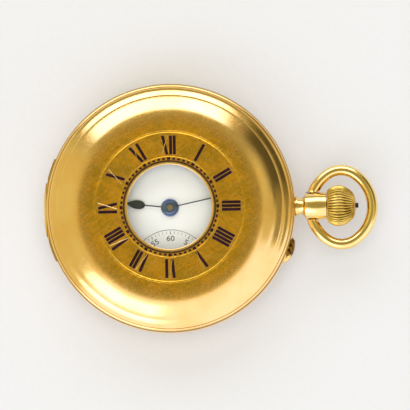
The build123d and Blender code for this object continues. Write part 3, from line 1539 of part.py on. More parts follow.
def make_clutch():
    half = stem_square / 2 + slip_gap
    clutch = rod_x(clutch_radius, clutch_x0, clutch_x1, 0, stem_z)
    groove_x1 = clutch_groove_x + clutch_groove_width
    groove = rod_x(clutch_radius + overrun, clutch_groove_x, groove_x1, 0, stem_z)
    groove -= rod_x(clutch_groove_radius, clutch_groove_x - overrun, groove_x1 + overrun, 0, stem_z)
    clutch -= groove
    clutch -= slab(clutch_x0 - overrun, clutch_x1 + overrun, -half, half, stem_z - half, stem_z + half)
    gap = slab(clutch_x0 - overrun, clutch_x0 + clutch_tooth_depth, clutch_groove_radius,
               clutch_radius + overrun, -clutch_tooth_width / 2, clutch_tooth_width / 2)
    gaps = [Pos(0, 0, stem_z) * Rot(index * 360 / clutch_teeth, 0, 0) * gap for index in range(clutch_teeth)]
    return clutch - Compound(gaps)


yoke_x0 = clutch_groove_x + run_gap
yoke_x1 = clutch_groove_x + clutch_groove_width - run_gap
yoke_y = -clutch_radius - yoke_reach


def make_yoke():
    """The sliding yoke that holds the clutch in its groove and carries it along the stem."""
    z0, z1 = stem_z - yoke_thick / 2, stem_z + yoke_thick / 2
    tongue = slab(yoke_x0, yoke_x1, yoke_y, -clutch_groove_radius - run_gap, z0, z1)
    bar = slab(yoke_x0 - yoke_width, yoke_x1, yoke_y - yoke_width, yoke_y, z0, z1)
    slot_y = yoke_y - yoke_width / 2
    slot = slab(yoke_x0 - yoke_width * yoke_slot_share, yoke_x0, slot_y - yoke_slot / 2,
                slot_y + yoke_slot / 2, z0 - overrun, z1 + overrun)
    return tongue + bar - slot


def make_click():
    z0 = bridge_z0 - face_gap - click_thick
    z1 = bridge_z0 - face_gap
    beak_radius = winding_module * (ratchet_teeth / 2 + 1) + click_beak / 2 + face_gap
    tip = shifted(barrel_at, beak_radius, click_direction + click_lean / 2)
    tail = shifted(click_at, click_tail, click_direction - click_lean * 2)
    click = tapered_arm(click_at, click_radius, tip, click_beak / 2, z0, z1)
    click += tapered_arm(click_at, click_radius, tail, click_beak, z0, z1)
    return click - disc(small_screw_shank_radius + run_gap, z0 - overrun, z1 + overrun, click_at)


def make_click_screw():
    z0 = bridge_z0 - face_gap - click_thick - small_screw_head_height - face_gap
    return screw(click_at, small_screw_head_radius, z0, small_screw_head_height, small_screw_shank_radius,
                 bridge_z1 - face_gap)


def make_click_spring():
    z0 = bridge_z0 - click_thick
    tail = shifted(click_at, click_tail + click_beak + click_spring_wire / 2 + 4 * face_gap,
                   click_direction - click_lean * 2)
    root = shifted(tail, click_spring_reach, click_direction - click_spring_lean)
    spring = tapered_arm(root, click_radius, tail, click_spring_wire / 2, z0, bridge_z0)
    return spring


# Setting work

lever_z1 = plate_z0 - face_gap
lever_z0 = lever_z1 - lever_thick


def make_setting_lever():
    elbow = polar(push_start - lever_tip_gap - lever_arm_width, push_angle)
    tip = (yoke_x1 + lever_tip_gap + lever_arm_width / 2, yoke_y - yoke_width / 3)
    lever = tapered_arm(lever_pivot_at, lever_boss_radius, elbow, lever_arm_width, lever_z0, lever_z1)
    lever += tapered_arm(elbow, lever_arm_width, tip, lever_arm_width / 2, lever_z0, lever_z1)
    return lever - disc(small_screw_shank_radius + run_gap, lever_z0 - overrun, lever_z1 + overrun,
                        lever_pivot_at)


def make_lever_screw():
    return screw(lever_pivot_at, small_screw_head_radius, lever_z0 - small_screw_head_height - face_gap,
                 small_screw_head_height, small_screw_shank_radius, plate_z0)


def make_setting_wheel():
    z0 = plate_z1 - setting_wheel_drop
    wheel = toothed(setting_teeth, motion_module, z0, z0 + setting_wheel_thick, setting_phase, setting_at)
    return wheel - disc(setting_post_radius + run_gap, z0 - overrun, z0 + setting_wheel_thick + overrun,
                        setting_at)


# Motion work, dial and hands

motion_z0 = plate_z1 + motion_gap
hour_wheel_z0 = motion_z0 + motion_wheel_thick + 2 * motion_gap


def make_cannon_pinion():
    z1 = motion_z0 + motion_wheel_thick + motion_gap
    pinion = toothed(cannon_teeth, motion_module, motion_z0, z1, 0.0)
    pinion += disc(cannon_pipe_radius, z1 - face_gap, minute_hand_z0 + hand_thick)
    return pinion - disc(centre_post_radius, motion_z0 - overrun, minute_hand_z0 + overrun)


def make_minute_wheel():
    z1 = motion_z0 + motion_wheel_thick
    wheel = toothed(minute_teeth, motion_module, motion_z0, z1, minute_phase, minute_at)
    wheel += toothed(minute_pinion_teeth, hour_module, z1 - face_gap, hour_wheel_z0 + motion_wheel_thick
                     + motion_gap, 0.0, minute_at)
    return wheel - disc(motion_post_radius + run_gap, motion_z0 - overrun, dial_z0, minute_at)


def make_hour_wheel():
    z1 = hour_wheel_z0 + motion_wheel_thick
    bore = cannon_pipe_radius + run_gap
    wheel = toothed(hour_teeth, hour_module, hour_wheel_z0, z1, hour_phase)
    wheel += disc(bore + hour_pipe_wall, z1 - face_gap, hour_hand_z0 + hand_thick)
    return wheel - disc(bore, hour_wheel_z0 - overrun, hour_hand_z0 + overrun)


def make_dial():
    dial = disc(dial_radius, dial_z0, dial_z1)
    for angle in dial_foot_angles:
        dial += disc(dial_foot_radius, plate_z1 - dial_foot_depth + face_gap, dial_z0 + face_gap,
                     polar(dial_foot_distance, angle))
    dial -= disc(seconds_dial_radius, dial_z1 - seconds_dial_sink, dial_z1 + overrun, seconds_at)
    dial -= disc(dial_centre_hole, dial_z0 - overrun, dial_z1 + overrun)
    return dial - disc(dial_seconds_hole, dial_z0 - overrun, dial_z1 + overrun, seconds_at)


def make_hour_hand():
    z0, z1 = hour_hand_z0, hour_hand_z0 + hand_thick
    thin = hour_arm_width / 4
    hand = disc(hour_boss_radius, z0, z1)
    hand += slab(-hour_arm_width / 2, hour_arm_width / 2, 0, hour_spade_centre, z0, z1)
    for centre, radius, tip in ((hour_pear_centre, hour_pear_radius, hour_pear_tip),
                                (hour_spade_centre, hour_spade_radius, hour_spade_tip)):
        hand += tapered_arm((0, centre), radius, (0, tip), thin, z0, z1)
    hand += tapered_arm((0, hour_pear_centre), hour_pear_radius, (0, hour_neck_radius), hour_arm_width / 2,
                        z0, z1)
    hand -= disc(cannon_pipe_radius + run_gap + hour_pipe_wall, z0 - overrun, z1 + overrun)
    return Rot(0, 0, -hour_hand_angle) * hand


def make_minute_hand():
    z0, z1 = minute_hand_z0, minute_hand_z0 + hand_thick
    hand = disc(minute_boss_radius, z0, z1)
    hand += tapered_arm((0, 0), minute_arm_width / 2, (0, minute_pear_centre), minute_tip_width / 2, z0, z1)
    hand += tapered_arm((0, minute_pear_centre), minute_pear_radius, (0, minute_tip), minute_tip_width / 4,
                        z0, z1)
    hand -= disc(cannon_pipe_radius, z0 - overrun, z1 + overrun)
    return Rot(0, 0, -minute_hand_angle) * hand


def make_seconds_hand():
    z0, z1 = seconds_hand_z0, seconds_hand_z0 + hand_thick
    hand = disc(seconds_boss_radius, z0, z1)
    hand += tapered_arm((0, 0), seconds_arm_width, (0, seconds_tip), seconds_arm_width / 4, z0, z1)
    hand += tapered_arm((0, 0), seconds_arm_width / 2, (0, -seconds_tail), seconds_tail_radius / 2, z0, z1)
    hand += disc(seconds_tail_radius, z0, z1, (0, -seconds_tail))
    hand -= disc(seconds_pivot_radius, z0 - overrun, z1 + overrun)
    return Pos(seconds_at[0], seconds_at[1], 0) * Rot(0, 0, -seconds_hand_angle) * hand


# Balance, escapement and regulator

rim_z0 = plate_z0 - balance_rim_drop - balance_rim_height
rim_z1 = rim_z0 + balance_rim_height
hairspring_z0 = cock_z1 + hairspring_drop
arm_z0 = rim_z0 + balance_arm_thick
roller_z0 = plate_z0 - roller_drop - roller_thick
hairspring_end = hairspring_start_radius + hairspring_turns * hairspring_pitch
cock_line = bearing(balance_at, cock_foot_at)
stud_at = shifted(balance_at, hairspring_end + hairspring_strip / 2 + stud_radius + face_gap / 2, cock_line)
pin_orbit = hairspring_end - hairspring_pitch / 2


def make_balance_wheel():
    inner = balance_radius - balance_rim_width
    wheel = ring(balance_radius, inner, rim_z0, rim_z1)
    half = balance_arm_width / 2
    wheel += slab(-inner - balance_rim_width / 2, inner + balance_rim_width / 2, -half, half, arm_z0,
                  arm_z0 + balance_arm_thick)
    wheel += disc(balance_hub_radius, arm_z0, arm_z0 + balance_arm_thick)
    wheel -= disc(staff_radius, arm_z0 - overrun, rim_z1 + overrun)
    return Pos(balance_at[0], balance_at[1], 0) * wheel


def make_balance_screws():
    middle = (rim_z0 + rim_z1) / 2
    stub = rod_x(balance_screw_radius, balance_radius, balance_radius + balance_screw_length, 0, middle)
    place = Pos(balance_at[0], balance_at[1], 0)
    pitch = 360 / balance_screw_count
    return [place * Rot(0, 0, index * pitch + pitch / 2) * stub for index in range(balance_screw_count)]


def make_balance_staff():
    low = cock_z0 + jewel_level / 2
    collet_z0 = hairspring_z0 - face_gap
    collet_z1 = hairspring_z0 + hairspring_height + face_gap
    return stepped([(pivot_radius, low, cock_z1 + face_gap), (staff_radius, cock_z1 + face_gap, collet_z0),
                    (collet_radius, collet_z0, collet_z1), (staff_radius, collet_z1, pocket_z),
                    (pivot_radius, pocket_z, jewel_top_z)], balance_at)


def make_roller():
    """The table and its pin, drawn at the end of half a swing, with the pin opposite the fork."""
    table = ring(roller_radius, staff_radius, roller_z0, roller_z0 + roller_thick, balance_at)
    pin_at = shifted(balance_at, impulse_orbit, lever_line)
    pin = disc(impulse_radius, roller_z0 + roller_thick, roller_z0 + roller_thick + impulse_length, pin_at)
    return table, pin


def make_hairspring():
    return spiral_strip(hairspring_start_radius, hairspring_pitch, hairspring_turns, hairspring_strip,
                        hairspring_z0, hairspring_height, balance_at, cock_line)


def make_pallet_fork():
    """The lever on its arbor, drawn midway between its banks."""
    z1 = escape_wheel_z + wheel_thick
    z0 = z1 - pallet_thick
    frame = Pos(pallet_at[0], pallet_at[1], 0) * Rot(0, 0, lever_line)
    reach = distance(pallet_at, balance_at) - impulse_orbit
    half = pallet_lever_width / 2
    lever = disc(pallet_boss_radius, z0, z1)
    lever += slab(0, reach - pallet_fork_length / 2, -half, half, z0, z1)
    lever += slab(reach - pallet_fork_length / 2, reach + pallet_fork_length / 2, -pallet_fork_width / 2,
                  pallet_fork_width / 2, z0, z1)
    lever -= slab(reach - pallet_fork_length / 4, reach + pallet_fork_length, -pallet_notch / 2,
                  pallet_notch / 2, z0 - overrun, z1 + overrun)
    stones = []
    pad_orbit = pallet_stone_radius + pallet_stone_length - pallet_pad_radius / 2
    for side in (-1, 1):
        pad = polar(pad_orbit, side * pallet_stone_angle)
        pad_at = (pad[0] - pallet_distance, pad[1])
        lever += tapered_arm((0, 0), pallet_arm_width / 2, pad_at, pallet_pad_radius, z0, z1)
        blank = slab(pallet_stone_radius, pallet_stone_radius + pallet_stone_length,
                     -pallet_stone_width / 2, pallet_stone_width / 2, z0, z1)
        stone = Pos(-pallet_distance, 0, 0) * Rot(0, 0, side * pallet_stone_angle) * blank
        lever -= stone
        stones.append(frame * stone)
    arbor = stepped([(pivot_radius, plate_z0 - pallet_cock_drop - pallet_cock_thick, z0 - face_gap),
                     (arbor_radius, z0 - face_gap, pocket_z), (pivot_radius, pocket_z, jewel_top_z)])
    return frame * (lever + arbor), stones


def make_regulator():
    z0, z1 = cock_z0 - regulator_thick, cock_z0
    plate = disc(regulator_hub_radius, z0, z1)
    plate += tapered_arm((0, 0), regulator_index_width, (-regulator_index, 0), regulator_index_width / 3,
                         z0, z1)
    plate += tapered_arm((0, 0), regulator_hub_radius / 2, (pin_orbit, 0), regulator_tail_radius, z0, z1)
    plate -= disc(regulator_bore_radius, z0 - overrun, z1 + overrun)
    for shift in (-1, 1):
        pin_at = (pin_orbit + shift * (regulator_pin_radius + hairspring_strip), 0)
        plate += disc(regulator_pin_radius, z1 - face_gap, hairspring_z0 + hairspring_height, pin_at)
    return Pos(balance_at[0], balance_at[1], 0) * Rot(0, 0, cock_line + 180) * plate


def make_cap_setting():
    return disc(cap_setting_radius, cock_z0 - regulator_thick, cock_z0, balance_at)


def hinge_pin(x, z, radius, end_half):
    """A plain hinge pin."""
    return rod_y(radius, x, -end_half, end_half, z)


def main():
    os.makedirs("parts", exist_ok=True)
    save("case_band", make_case_band())
    save("pendant", make_pendant())
    save("push_guard", make_push_guard())
    save("push_pin", make_push_pin())
    save("lock_spring", case_spring(lock_spring_root_angle, lock_spring_nose_angle, lock_spring_end_angle,
                                    True))
    save("lift_spring", case_spring(lift_spring_root_angle, lift_spring_nose_angle, lift_spring_nose_angle,
                                    False))
    save("front_cover", make_front_cover())
    save("cover_numerals", *cover_figures(cover_z - numeral_depth, cover_z))
    save("cover_glass_ring", make_cover_glass_ring())
    save("cover_glass", make_cover_glass())
    save("hinge_pins", hinge_pin(-hinge_x, band_z1, hinge_pin_radius, hinge_end_half),
         hinge_pin(-hinge_x, band_z0, hinge_pin_radius, hinge_end_half),
         hinge_pin(-cuvette_hinge_x, band_z0, cuvette_pin_radius, cuvette_end_half))
    save("back_cover", make_back_cover())
    save("cuvette", make_cuvette())
    save("inner_bezel", make_inner_bezel())
    save("dial_glass", make_dial_glass())
    save("bow", make_bow())
    save("crown", make_crown())
    save("winding_stem", make_stem())
    save("push_sleeve", make_push_sleeve())
    save("main_plate", make_main_plate())
    save("barrel_bridge", make_barrel_bridge())
    save("train_bridge", make_train_bridge())
    save("balance_cock", make_balance_cock())
    save("pallet_cock", make_pallet_cock())
    save("bridge_screws", *make_bridge_screws(), make_crown_wheel_screw(), make_click_screw(),
         make_lever_screw())
    save("case_screws", *make_case_screws())
    save("jewels", *plate_jewels(), *bridge_jewels(), make_cap_setting())
    save("centre_wheel", make_centre_wheel())
    save("third_wheel", make_third())
    save("fourth_wheel", make_fourth())
    save("escape_wheel", make_escape())
    save("barrel", make_barrel())
    save("barrel_cover", make_barrel_cover())
    save("barrel_arbor", make_barrel_arbor())
    save("mainspring", make_mainspring())
    save("ratchet_wheel", make_ratchet_wheel())
    save("ratchet_screw", make_ratchet_screw())
    save("crown_wheel", make_crown_wheel())
    save("winding_pinion", make_winding_pinion())
    save("clutch", make_clutch())
    save("clutch_yoke", make_yoke())
    save("click", make_click())
    save("click_spring", make_click_spring())
    save("setting_lever", make_setting_lever())
    save("setting_wheel", make_setting_wheel())
    save("cannon_pinion", make_cannon_pinion())
    save("minute_wheel", make_minute_wheel())
    save("hour_wheel", make_hour_wheel())
    save("dial", make_dial())
    save("hour_hand", make_hour_hand())
    save("minute_hand", make_minute_hand())
    save("seconds_hand", make_seconds_hand())
    save("balance_wheel", make_balance_wheel())
    save("balance_screws", *make_balance_screws())
    save("balance_staff", make_balance_staff())
    table, pin = make_roller()
    save("roller", table, pin)
    save("hairspring", make_hairspring())
    fork, stones = make_pallet_fork()
    save("pallet_fork", fork)
    save("pallet_stones", *stones)
    save("regulator", make_regulator())
    print("least gap in the mainspring", least_spiral_gap(mainspring_start_radius, mainspring_pitch,
                                                          mainspring_turns, mainspring_strip))
    print("least gap in the hairspring", least_spiral_gap(hairspring_start_radius, hairspring_pitch,
                                                          hairspring_turns, hairspring_strip))


main()
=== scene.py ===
import bmesh
import bpy
import numpy as np
from mathutils import Matrix, Vector


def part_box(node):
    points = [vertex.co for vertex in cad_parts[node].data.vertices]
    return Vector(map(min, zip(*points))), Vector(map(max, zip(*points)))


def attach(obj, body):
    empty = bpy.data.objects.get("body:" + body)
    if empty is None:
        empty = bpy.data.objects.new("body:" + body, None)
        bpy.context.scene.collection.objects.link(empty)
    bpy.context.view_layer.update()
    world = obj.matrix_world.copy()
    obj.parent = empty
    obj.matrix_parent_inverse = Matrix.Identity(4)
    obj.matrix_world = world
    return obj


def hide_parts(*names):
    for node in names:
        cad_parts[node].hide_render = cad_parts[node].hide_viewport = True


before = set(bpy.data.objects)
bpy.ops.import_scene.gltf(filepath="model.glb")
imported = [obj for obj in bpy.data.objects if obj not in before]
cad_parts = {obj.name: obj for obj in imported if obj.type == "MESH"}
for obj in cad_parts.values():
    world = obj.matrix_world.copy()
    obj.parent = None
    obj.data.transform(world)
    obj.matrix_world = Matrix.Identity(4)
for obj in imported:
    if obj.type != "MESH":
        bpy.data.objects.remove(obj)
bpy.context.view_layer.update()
MM = 0.001

# The photographed view
# The watch lies on its back on a pale table and is seen from almost straight above, with the pendant to the
# right. The camera leans a few degrees towards six o'clock, and is turned one degree.

VIEW_WIDTH = 82.15
VIEW_CENTRE = (7.14, 0.21, 12.9)
VIEW_DISTANCE = 2000.0
VIEW_LEAN = 4.0
VIEW_BEARING = -66.0
VIEW_ROLL = -1.0
VIEW_CLIP = (0.01, 10.0)
SENSOR_WIDTH = 36.0


def place_camera():
    """A far camera, whose lens frames the photograph's width at the level of the front cover."""
    camera = bpy.data.cameras.new("camera")
    camera.sensor_width = SENSOR_WIDTH
    camera.lens = SENSOR_WIDTH * VIEW_DISTANCE / VIEW_WIDTH
    camera.clip_start, camera.clip_end = VIEW_CLIP
    holder = bpy.data.objects.new("camera", camera)
    target = Vector(VIEW_CENTRE) * MM
    turn, lean = np.radians((VIEW_BEARING, VIEW_LEAN))
    away = Vector((np.cos(turn) * np.sin(lean), np.sin(turn) * np.sin(lean), np.cos(lean)))
    up = (Vector((0, 1, 0)) - away * away.y).normalized()
    side = up.cross(away)
    axes = Matrix((side, up, away)).transposed() @ Matrix.Rotation(np.radians(VIEW_ROLL), 3, "Z")
    holder.matrix_world = Matrix.Translation(target + away * VIEW_DISTANCE * MM) @ axes.to_4x4()
    bpy.context.scene.collection.objects.link(holder)
    bpy.context.scene.camera = holder


place_camera()
bpy.context.scene.view_settings.view_transform = "Standard"

# Shader maths
# Each finish below is written as arithmetic on sockets, so that its formula reads as one.

CLOUD_EDGES = (0.3, 0.7)
CLOUD_EDGES_FIRM = (0.35, 0.65)
CLOUD_DETAIL = 3.0


class Wire:
    """An output socket that can be added, multiplied and compared."""

    def __init__(self, finish, socket):
        self.finish = finish
        self.socket = socket

    def math(self, operation, *others, first=None, clamp=False):
        values = dict(enumerate(((self if first is None else first),) + others))
        return self.finish.node("ShaderNodeMath", {"operation": operation, "use_clamp": clamp}, values)

    def __add__(self, other):
        return self.math("ADD", other)

    def __sub__(self, other):
        return self.math("SUBTRACT", other)

    def __rsub__(self, other):
        return self.math("SUBTRACT", self, first=other)

    def __mul__(self, other):
        return self.math("MULTIPLY", other)

    def __truediv__(self, other):
        return self.math("DIVIDE", other)

    def __pow__(self, other):
        return self.math("POWER", other)

    __radd__, __rmul__ = __add__, __mul__

    def absolute(self):
        return self.math("ABSOLUTE")

    def most(self, other):
        return self.math("MAXIMUM", other)

    def least(self, other):
        return self.math("MINIMUM", other)

    def step(self, low, high):
        """0 below low and 1 above high, with a smooth rise between; the other way round if low is higher."""
        flip = low > high
        values = {"Value": self, "From Min": min(low, high), "From Max": max(low, high),
                  "To Min": float(flip), "To Max": float(not flip)}
        return self.finish.node("ShaderNodeMapRange", {"interpolation_type": "SMOOTHSTEP"}, values)


class Finish:
    """A material or world made of nodes."""

    def __init__(self, name, tree=None):
        if tree is None:
            self.material = bpy.data.materials.new(name)
            self.material.use_nodes = True
            tree = self.material.node_tree
        self.tree = tree
        self.tree.nodes.clear()

    def node(self, kind, settings=None, values=None, output=0):
        """A node of a type, with its settings made first and then its sockets filled or linked."""
        made = self.tree.nodes.new(kind)
        for key, value in (settings or {}).items():
            setattr(made, key, value)
        for key, value in (values or {}).items():
            if isinstance(value, Wire):
                self.tree.links.new(value.socket, made.inputs[key])
            else:
                made.inputs[key].default_value = value
        return Wire(self, made.outputs[output]) if made.outputs else made

    def place(self):
        """The point on the piece, in metres, in the shared frame."""
        return self.node("ShaderNodeTexCoord", output="Object")

    def parts(self, vector):
        """The X, Y and Z of a vector."""
        made = self.node("ShaderNodeSeparateXYZ", values={0: vector})
        sockets = made.socket.node.outputs
        return [Wire(self, sockets[index]) for index in range(3)]

    def stretched(self, turn, scale):
        """The place turned about Z and scaled, for a pattern with a grain."""
        values = {"Vector": self.place(), "Rotation": (0, 0, np.radians(turn)), "Scale": scale}
        return self.node("ShaderNodeMapping", {"vector_type": "TEXTURE"}, values)

    def noise(self, scale, detail=2.0, vector=None, rough=0.5):
        values = {"Vector": vector or self.place(), "Scale": scale, "Detail": detail, "Roughness": rough}
        return self.node("ShaderNodeTexNoise", values=values)

    def streaks(self, turn, long, fine, detail=2.0):
        """Noise drawn out along one direction, with its two sizes in millimetres."""
        return self.noise(1.0, detail, self.stretched(turn, (long * MM, fine * MM, long * MM)))

    def mix(self, factor, first, second):
        """A colour between two colours."""
        return self.node("ShaderNodeMix", {"data_type": "RGBA"}, {0: factor, 6: first, 7: second}, output=2)

    def drift(self, scale, first, second, edges=CLOUD_EDGES, detail=CLOUD_DETAIL):
        """A colour that goes from one to another in soft clouds."""
        return self.mix(self.noise(scale, detail).step(*edges), first, second)

    def bump(self, height, distance, strength=1.0):
        return self.node("ShaderNodeBump", values={"Height": height, "Distance": distance,
                                                   "Strength": strength})

    def surface(self, **values):
        """Closes the finish with the main shader; names with spaces are written with underscores."""
        sockets = {key.replace("_", " "): value for key, value in values.items()}
        shader = self.node("ShaderNodeBsdfPrincipled", values=sockets)
        self.node("ShaderNodeOutputMaterial", values={"Surface": shader})
        return self.material


# Table and light
# A warm white table, lit through from below, in a pale room that is dim straight overhead and dark to the
# right; a wide soft box stands below six o'clock, and two bright ones show beyond twelve and beyond eight.

TABLE_SIZE = 4000.0
TABLE_COLOUR = (0.474, 0.472, 0.460, 1.0)
TABLE_SHADE = (0.466, 0.463, 0.450, 1.0)
TABLE_GLOW = (0.25, 0.245, 0.232, 1.0)
TABLE_GRAIN = 900.0
TABLE_ROUGHNESS = 0.75
ROOM_BRIGHT = (1.0, 1.03, 1.25, 1.0)
ROOM_DIM = (1.0, 0.90, 0.48, 1.0)
ROOM_TINT_LEVELS = (0.70, 1.25)
SUN_STRENGTH = 1.1
SUN_ANGLE = 50.0
ROOM_LEVEL = 0.74
BACKDROP_LEVEL = 0.96
OVERHEAD_LEVEL = 0.37
OVERHEAD_EDGE = (0.885, 0.950)
LEAST_SQUARE = 0.0001
# Each patch of the room: the azimuth it faces, how far it reaches to full and to nothing, the heights (as the
# sine of the elevation) where it begins and ends, and its level
ROOM_PATCHES = ((284.0, 62.0, 72.0, (-0.2, 0.0, 1.0, 1.1), 1.22),
                (90.0, 42.0, 62.0, (-1.2, -1.1, 1.0, 1.1), 0.42),
                (238.0, 18.0, 28.0, (0.44, 0.52, 0.76, 0.84), 3.0),
                (97.0, 30.0, 42.0, (0.28, 0.36, 0.72, 0.80), 2.9),
                (27.0, 15.0, 27.0, (0.10, 0.20, 0.55, 0.86), 0.10),
                (-2.0, 8.0, 20.0, (0.62, 0.70, 0.84, 0.90), 0.66),
                (-2.0, 9.0, 20.0, (0.26, 0.34, 0.52, 0.60), 0.30))


def lay_table():
    """One flat square under the watch, which is the stage."""
    half = TABLE_SIZE / 2 * MM
    mesh = bpy.data.meshes.new("table")
    corners = [(-half, -half, 0), (half, -half, 0), (half, half, 0), (-half, half, 0)]
    mesh.from_pydata(corners, [], [range(len(corners))])
    table = bpy.data.objects.new("table", mesh)
    bpy.context.scene.collection.objects.link(table)
    finish = Finish("table")
    white = finish.drift(TABLE_GRAIN, TABLE_COLOUR, TABLE_SHADE)
    mesh.materials.append(finish.surface(Base_Color=white, Roughness=TABLE_ROUGHNESS,
                                         Emission_Color=TABLE_GLOW, Emission_Strength=1.0))


def light_room():
    """The level of the room is laid on in patches, each over what is there already."""
    world = bpy.data.worlds.new("room")
    world.use_nodes = True
    bpy.context.scene.world = world
    room = Finish("room", world.node_tree)
    x, y, z = room.parts(room.node("ShaderNodeTexCoord", output="Generated"))
    flat = (x * x + y * y + LEAST_SQUARE) ** 0.5
    level = ROOM_LEVEL
    for azimuth, full, edge, (low, low_full, high_full, high), value in ROOM_PATCHES:
        turn, near, far = np.radians((azimuth, full, edge))
        facing = (x * float(np.cos(turn)) + y * float(np.sin(turn))) / flat
        patch = facing.step(float(np.cos(far)), float(np.cos(near))) * z.step(low, low_full) \
            * z.step(high, high_full)
        level = level * (1 - patch) + value * patch
    overhead = z.step(*OVERHEAD_EDGE)
    level = level * (1 - overhead) + OVERHEAD_LEVEL * overhead
    seen = room.node("ShaderNodeLightPath", output="Is Camera Ray")
    level = level * (1 - seen) + BACKDROP_LEVEL * seen
    tint = room.mix(level.step(*ROOM_TINT_LEVELS), ROOM_DIM, ROOM_BRIGHT)
    sky = room.node("ShaderNodeBackground", values={"Color": tint, "Strength": level})
    room.node("ShaderNodeOutputWorld", values={"Surface": sky})
    sun = bpy.data.lights.new("overhead", "SUN")
    sun.energy = SUN_STRENGTH
    sun.angle = np.radians(SUN_ANGLE)
    holder = bpy.data.objects.new("overhead", sun)
    holder.visible_glossy = False
    bpy.context.scene.collection.objects.link(holder)


lay_table()
light_room()

# Case gold
# Eighteen carat yellow gold, polished long ago and dulled by fine scratches in every direction, with small
# dents and a slightly uneven colour. The flat of the front cover is worn to a satin, and its deeper, mottled
# colour is painted shade for the dim overhead that the flat reflects. The pendant and bow are given a paler,
# yellower copy of the gold, painted lighter for the bright table that they reflect.

GOLD_PALE = (0.97, 0.635, 0.21, 1.0)
GOLD_TAWNY = (0.93, 0.565, 0.15, 1.0)
# The deep orange and the olive of the cover's flat: painted shade, for the dim overhead that it reflects
GOLD_SHADED_DEEP = (1.00, 0.485, 0.015, 1.0)
GOLD_SHADED_OLIVE = (0.63, 0.350, 0.010, 1.0)
# Paler, yellower gold for the pendant and bow: painted light, for the bright table that they reflect
GOLD_LIGHTENED_LEMON = (0.97, 0.70, 0.22, 1.0)
GOLD_LIGHTENED_STRAW = (0.93, 0.63, 0.17, 1.0)
GOLD_COAT = 0.9
GOLD_COAT_IOR = 1.65
GOLD_CLOUD = 140.0
GOLD_SPECKLE = 5200.0
GOLD_DENTS = 700.0
SCRATCH_FINENESS = 0.16
# Each set of scratches: its direction in degrees, its length in millimetres, and how much noise it keeps
SCRATCHES = ((25, 9.0, 0.010), (-38, 8.0, 0.008), (74, 8.0, 0.008), (118, 8.0, 0.008))
# Where the flat's satin wear and its painted shade reach, and how far they fade out
SATIN_SHADE_RADIUS = 15.9
SATIN_SHADE_FADE = 4.4
SATIN_BRUSHED = (38, 4.0, 0.30, 4.0)
SATIN_CROSSED = (-24, 5.0, 0.45, 3.0)
MOTTLE_SCALE = 230.0
MOTTLE_FLECK = 1500.0
MOTTLE_SHARES = (0.30, 0.34, 0.14, 0.22)
MOTTLE_EDGES = (0.43, 0.58)


def scratch_lines(finish, turn, length, keep):
    """Thin lines along one direction: noise stretched along it, kept only near its middle value."""
    return (finish.streaks(turn, length, SCRATCH_FINENESS) - 0.5).absolute().step(keep, 0.0)


def case_gold(name, dullness, worn_shaded_flat=False, pale=GOLD_PALE, tawny=GOLD_TAWNY):
    """Gold with scratches; on the flat about the case axis it is dulled and brushed, and its deeper, mottled
    colour there is painted shade.
    """
    finish = Finish(name)
    cloud = finish.noise(GOLD_CLOUD, 4.0)
    speckle = finish.noise(GOLD_SPECKLE)
    scratches = sum(scratch_lines(finish, *scratch) for scratch in SCRATCHES)
    tone = finish.mix(cloud.step(*CLOUD_EDGES_FIRM), pale, tawny)
    rough = dullness + 0.03 * cloud.step(0.35, 0.7) + 0.03 * speckle.step(0.4, 0.7) + 0.10 * scratches
    height = speckle * 0.35 - scratches * 0.6 + finish.noise(GOLD_DENTS) * 0.8
    coat = GOLD_COAT
    if worn_shaded_flat:
        x, y = finish.parts(finish.place())[:2]
        # One mask for the flat: its real satin dulling and the painted shade of its colour
        satin_and_shade = ((x * x + y * y) ** 0.5).step((SATIN_SHADE_RADIUS + SATIN_SHADE_FADE) * MM, SATIN_SHADE_RADIUS * MM)
        brushed, crossed = finish.streaks(*SATIN_BRUSHED), finish.streaks(*SATIN_CROSSED)
        patterns = (finish.noise(MOTTLE_SCALE, 5.0), brushed, crossed,
                    finish.noise(MOTTLE_FLECK, CLOUD_DETAIL))
        mottle = sum(pattern * share for pattern, share in zip(patterns, MOTTLE_SHARES))
        # The deep and olive mottle is painted shade; the scratches stay in the plain pale gold
        mottled_tone = finish.mix(mottle.step(*MOTTLE_EDGES), GOLD_SHADED_DEEP, GOLD_SHADED_OLIVE)
        mottled_tone = finish.mix(scratches.least(1.0) * 0.6, mottled_tone, GOLD_PALE)
        tone = finish.mix(satin_and_shade, tone, mottled_tone)
        rough = rough + (0.11 + 0.16 * brushed) * satin_and_shade
        height = height + (speckle * 0.3 + brushed * 1.2 + crossed * 0.5) * satin_and_shade
        coat = GOLD_COAT * (1 - 0.85 * satin_and_shade)
    return finish.surface(Base_Color=tone, Metallic=1.0, Roughness=rough.least(0.6), Coat_Weight=coat,
                          Coat_Roughness=0.08, Coat_IOR=GOLD_COAT_IOR,
                          Normal=finish.bump(height, 0.0000035, 0.55))


polished_gold = case_gold("polished_gold", 0.08)
# A lighter copy of the case gold for the pendant and bow: painted light
lightened_fitting_gold = case_gold("lightened_fitting_gold", 0.09, pale=GOLD_LIGHTENED_LEMON, tawny=GOLD_LIGHTENED_STRAW)
# The front cover's gold, with painted shade over its flat
cover_gold = case_gold("cover_gold", 0.08, True)

# Front cover
# A shell of gold with a flat, windowed middle, a round shoulder, a fine step, a rim and a thin bead. A bright
# circle is engraved outside the figures, and a finer one bounds the track of minutes at the window.

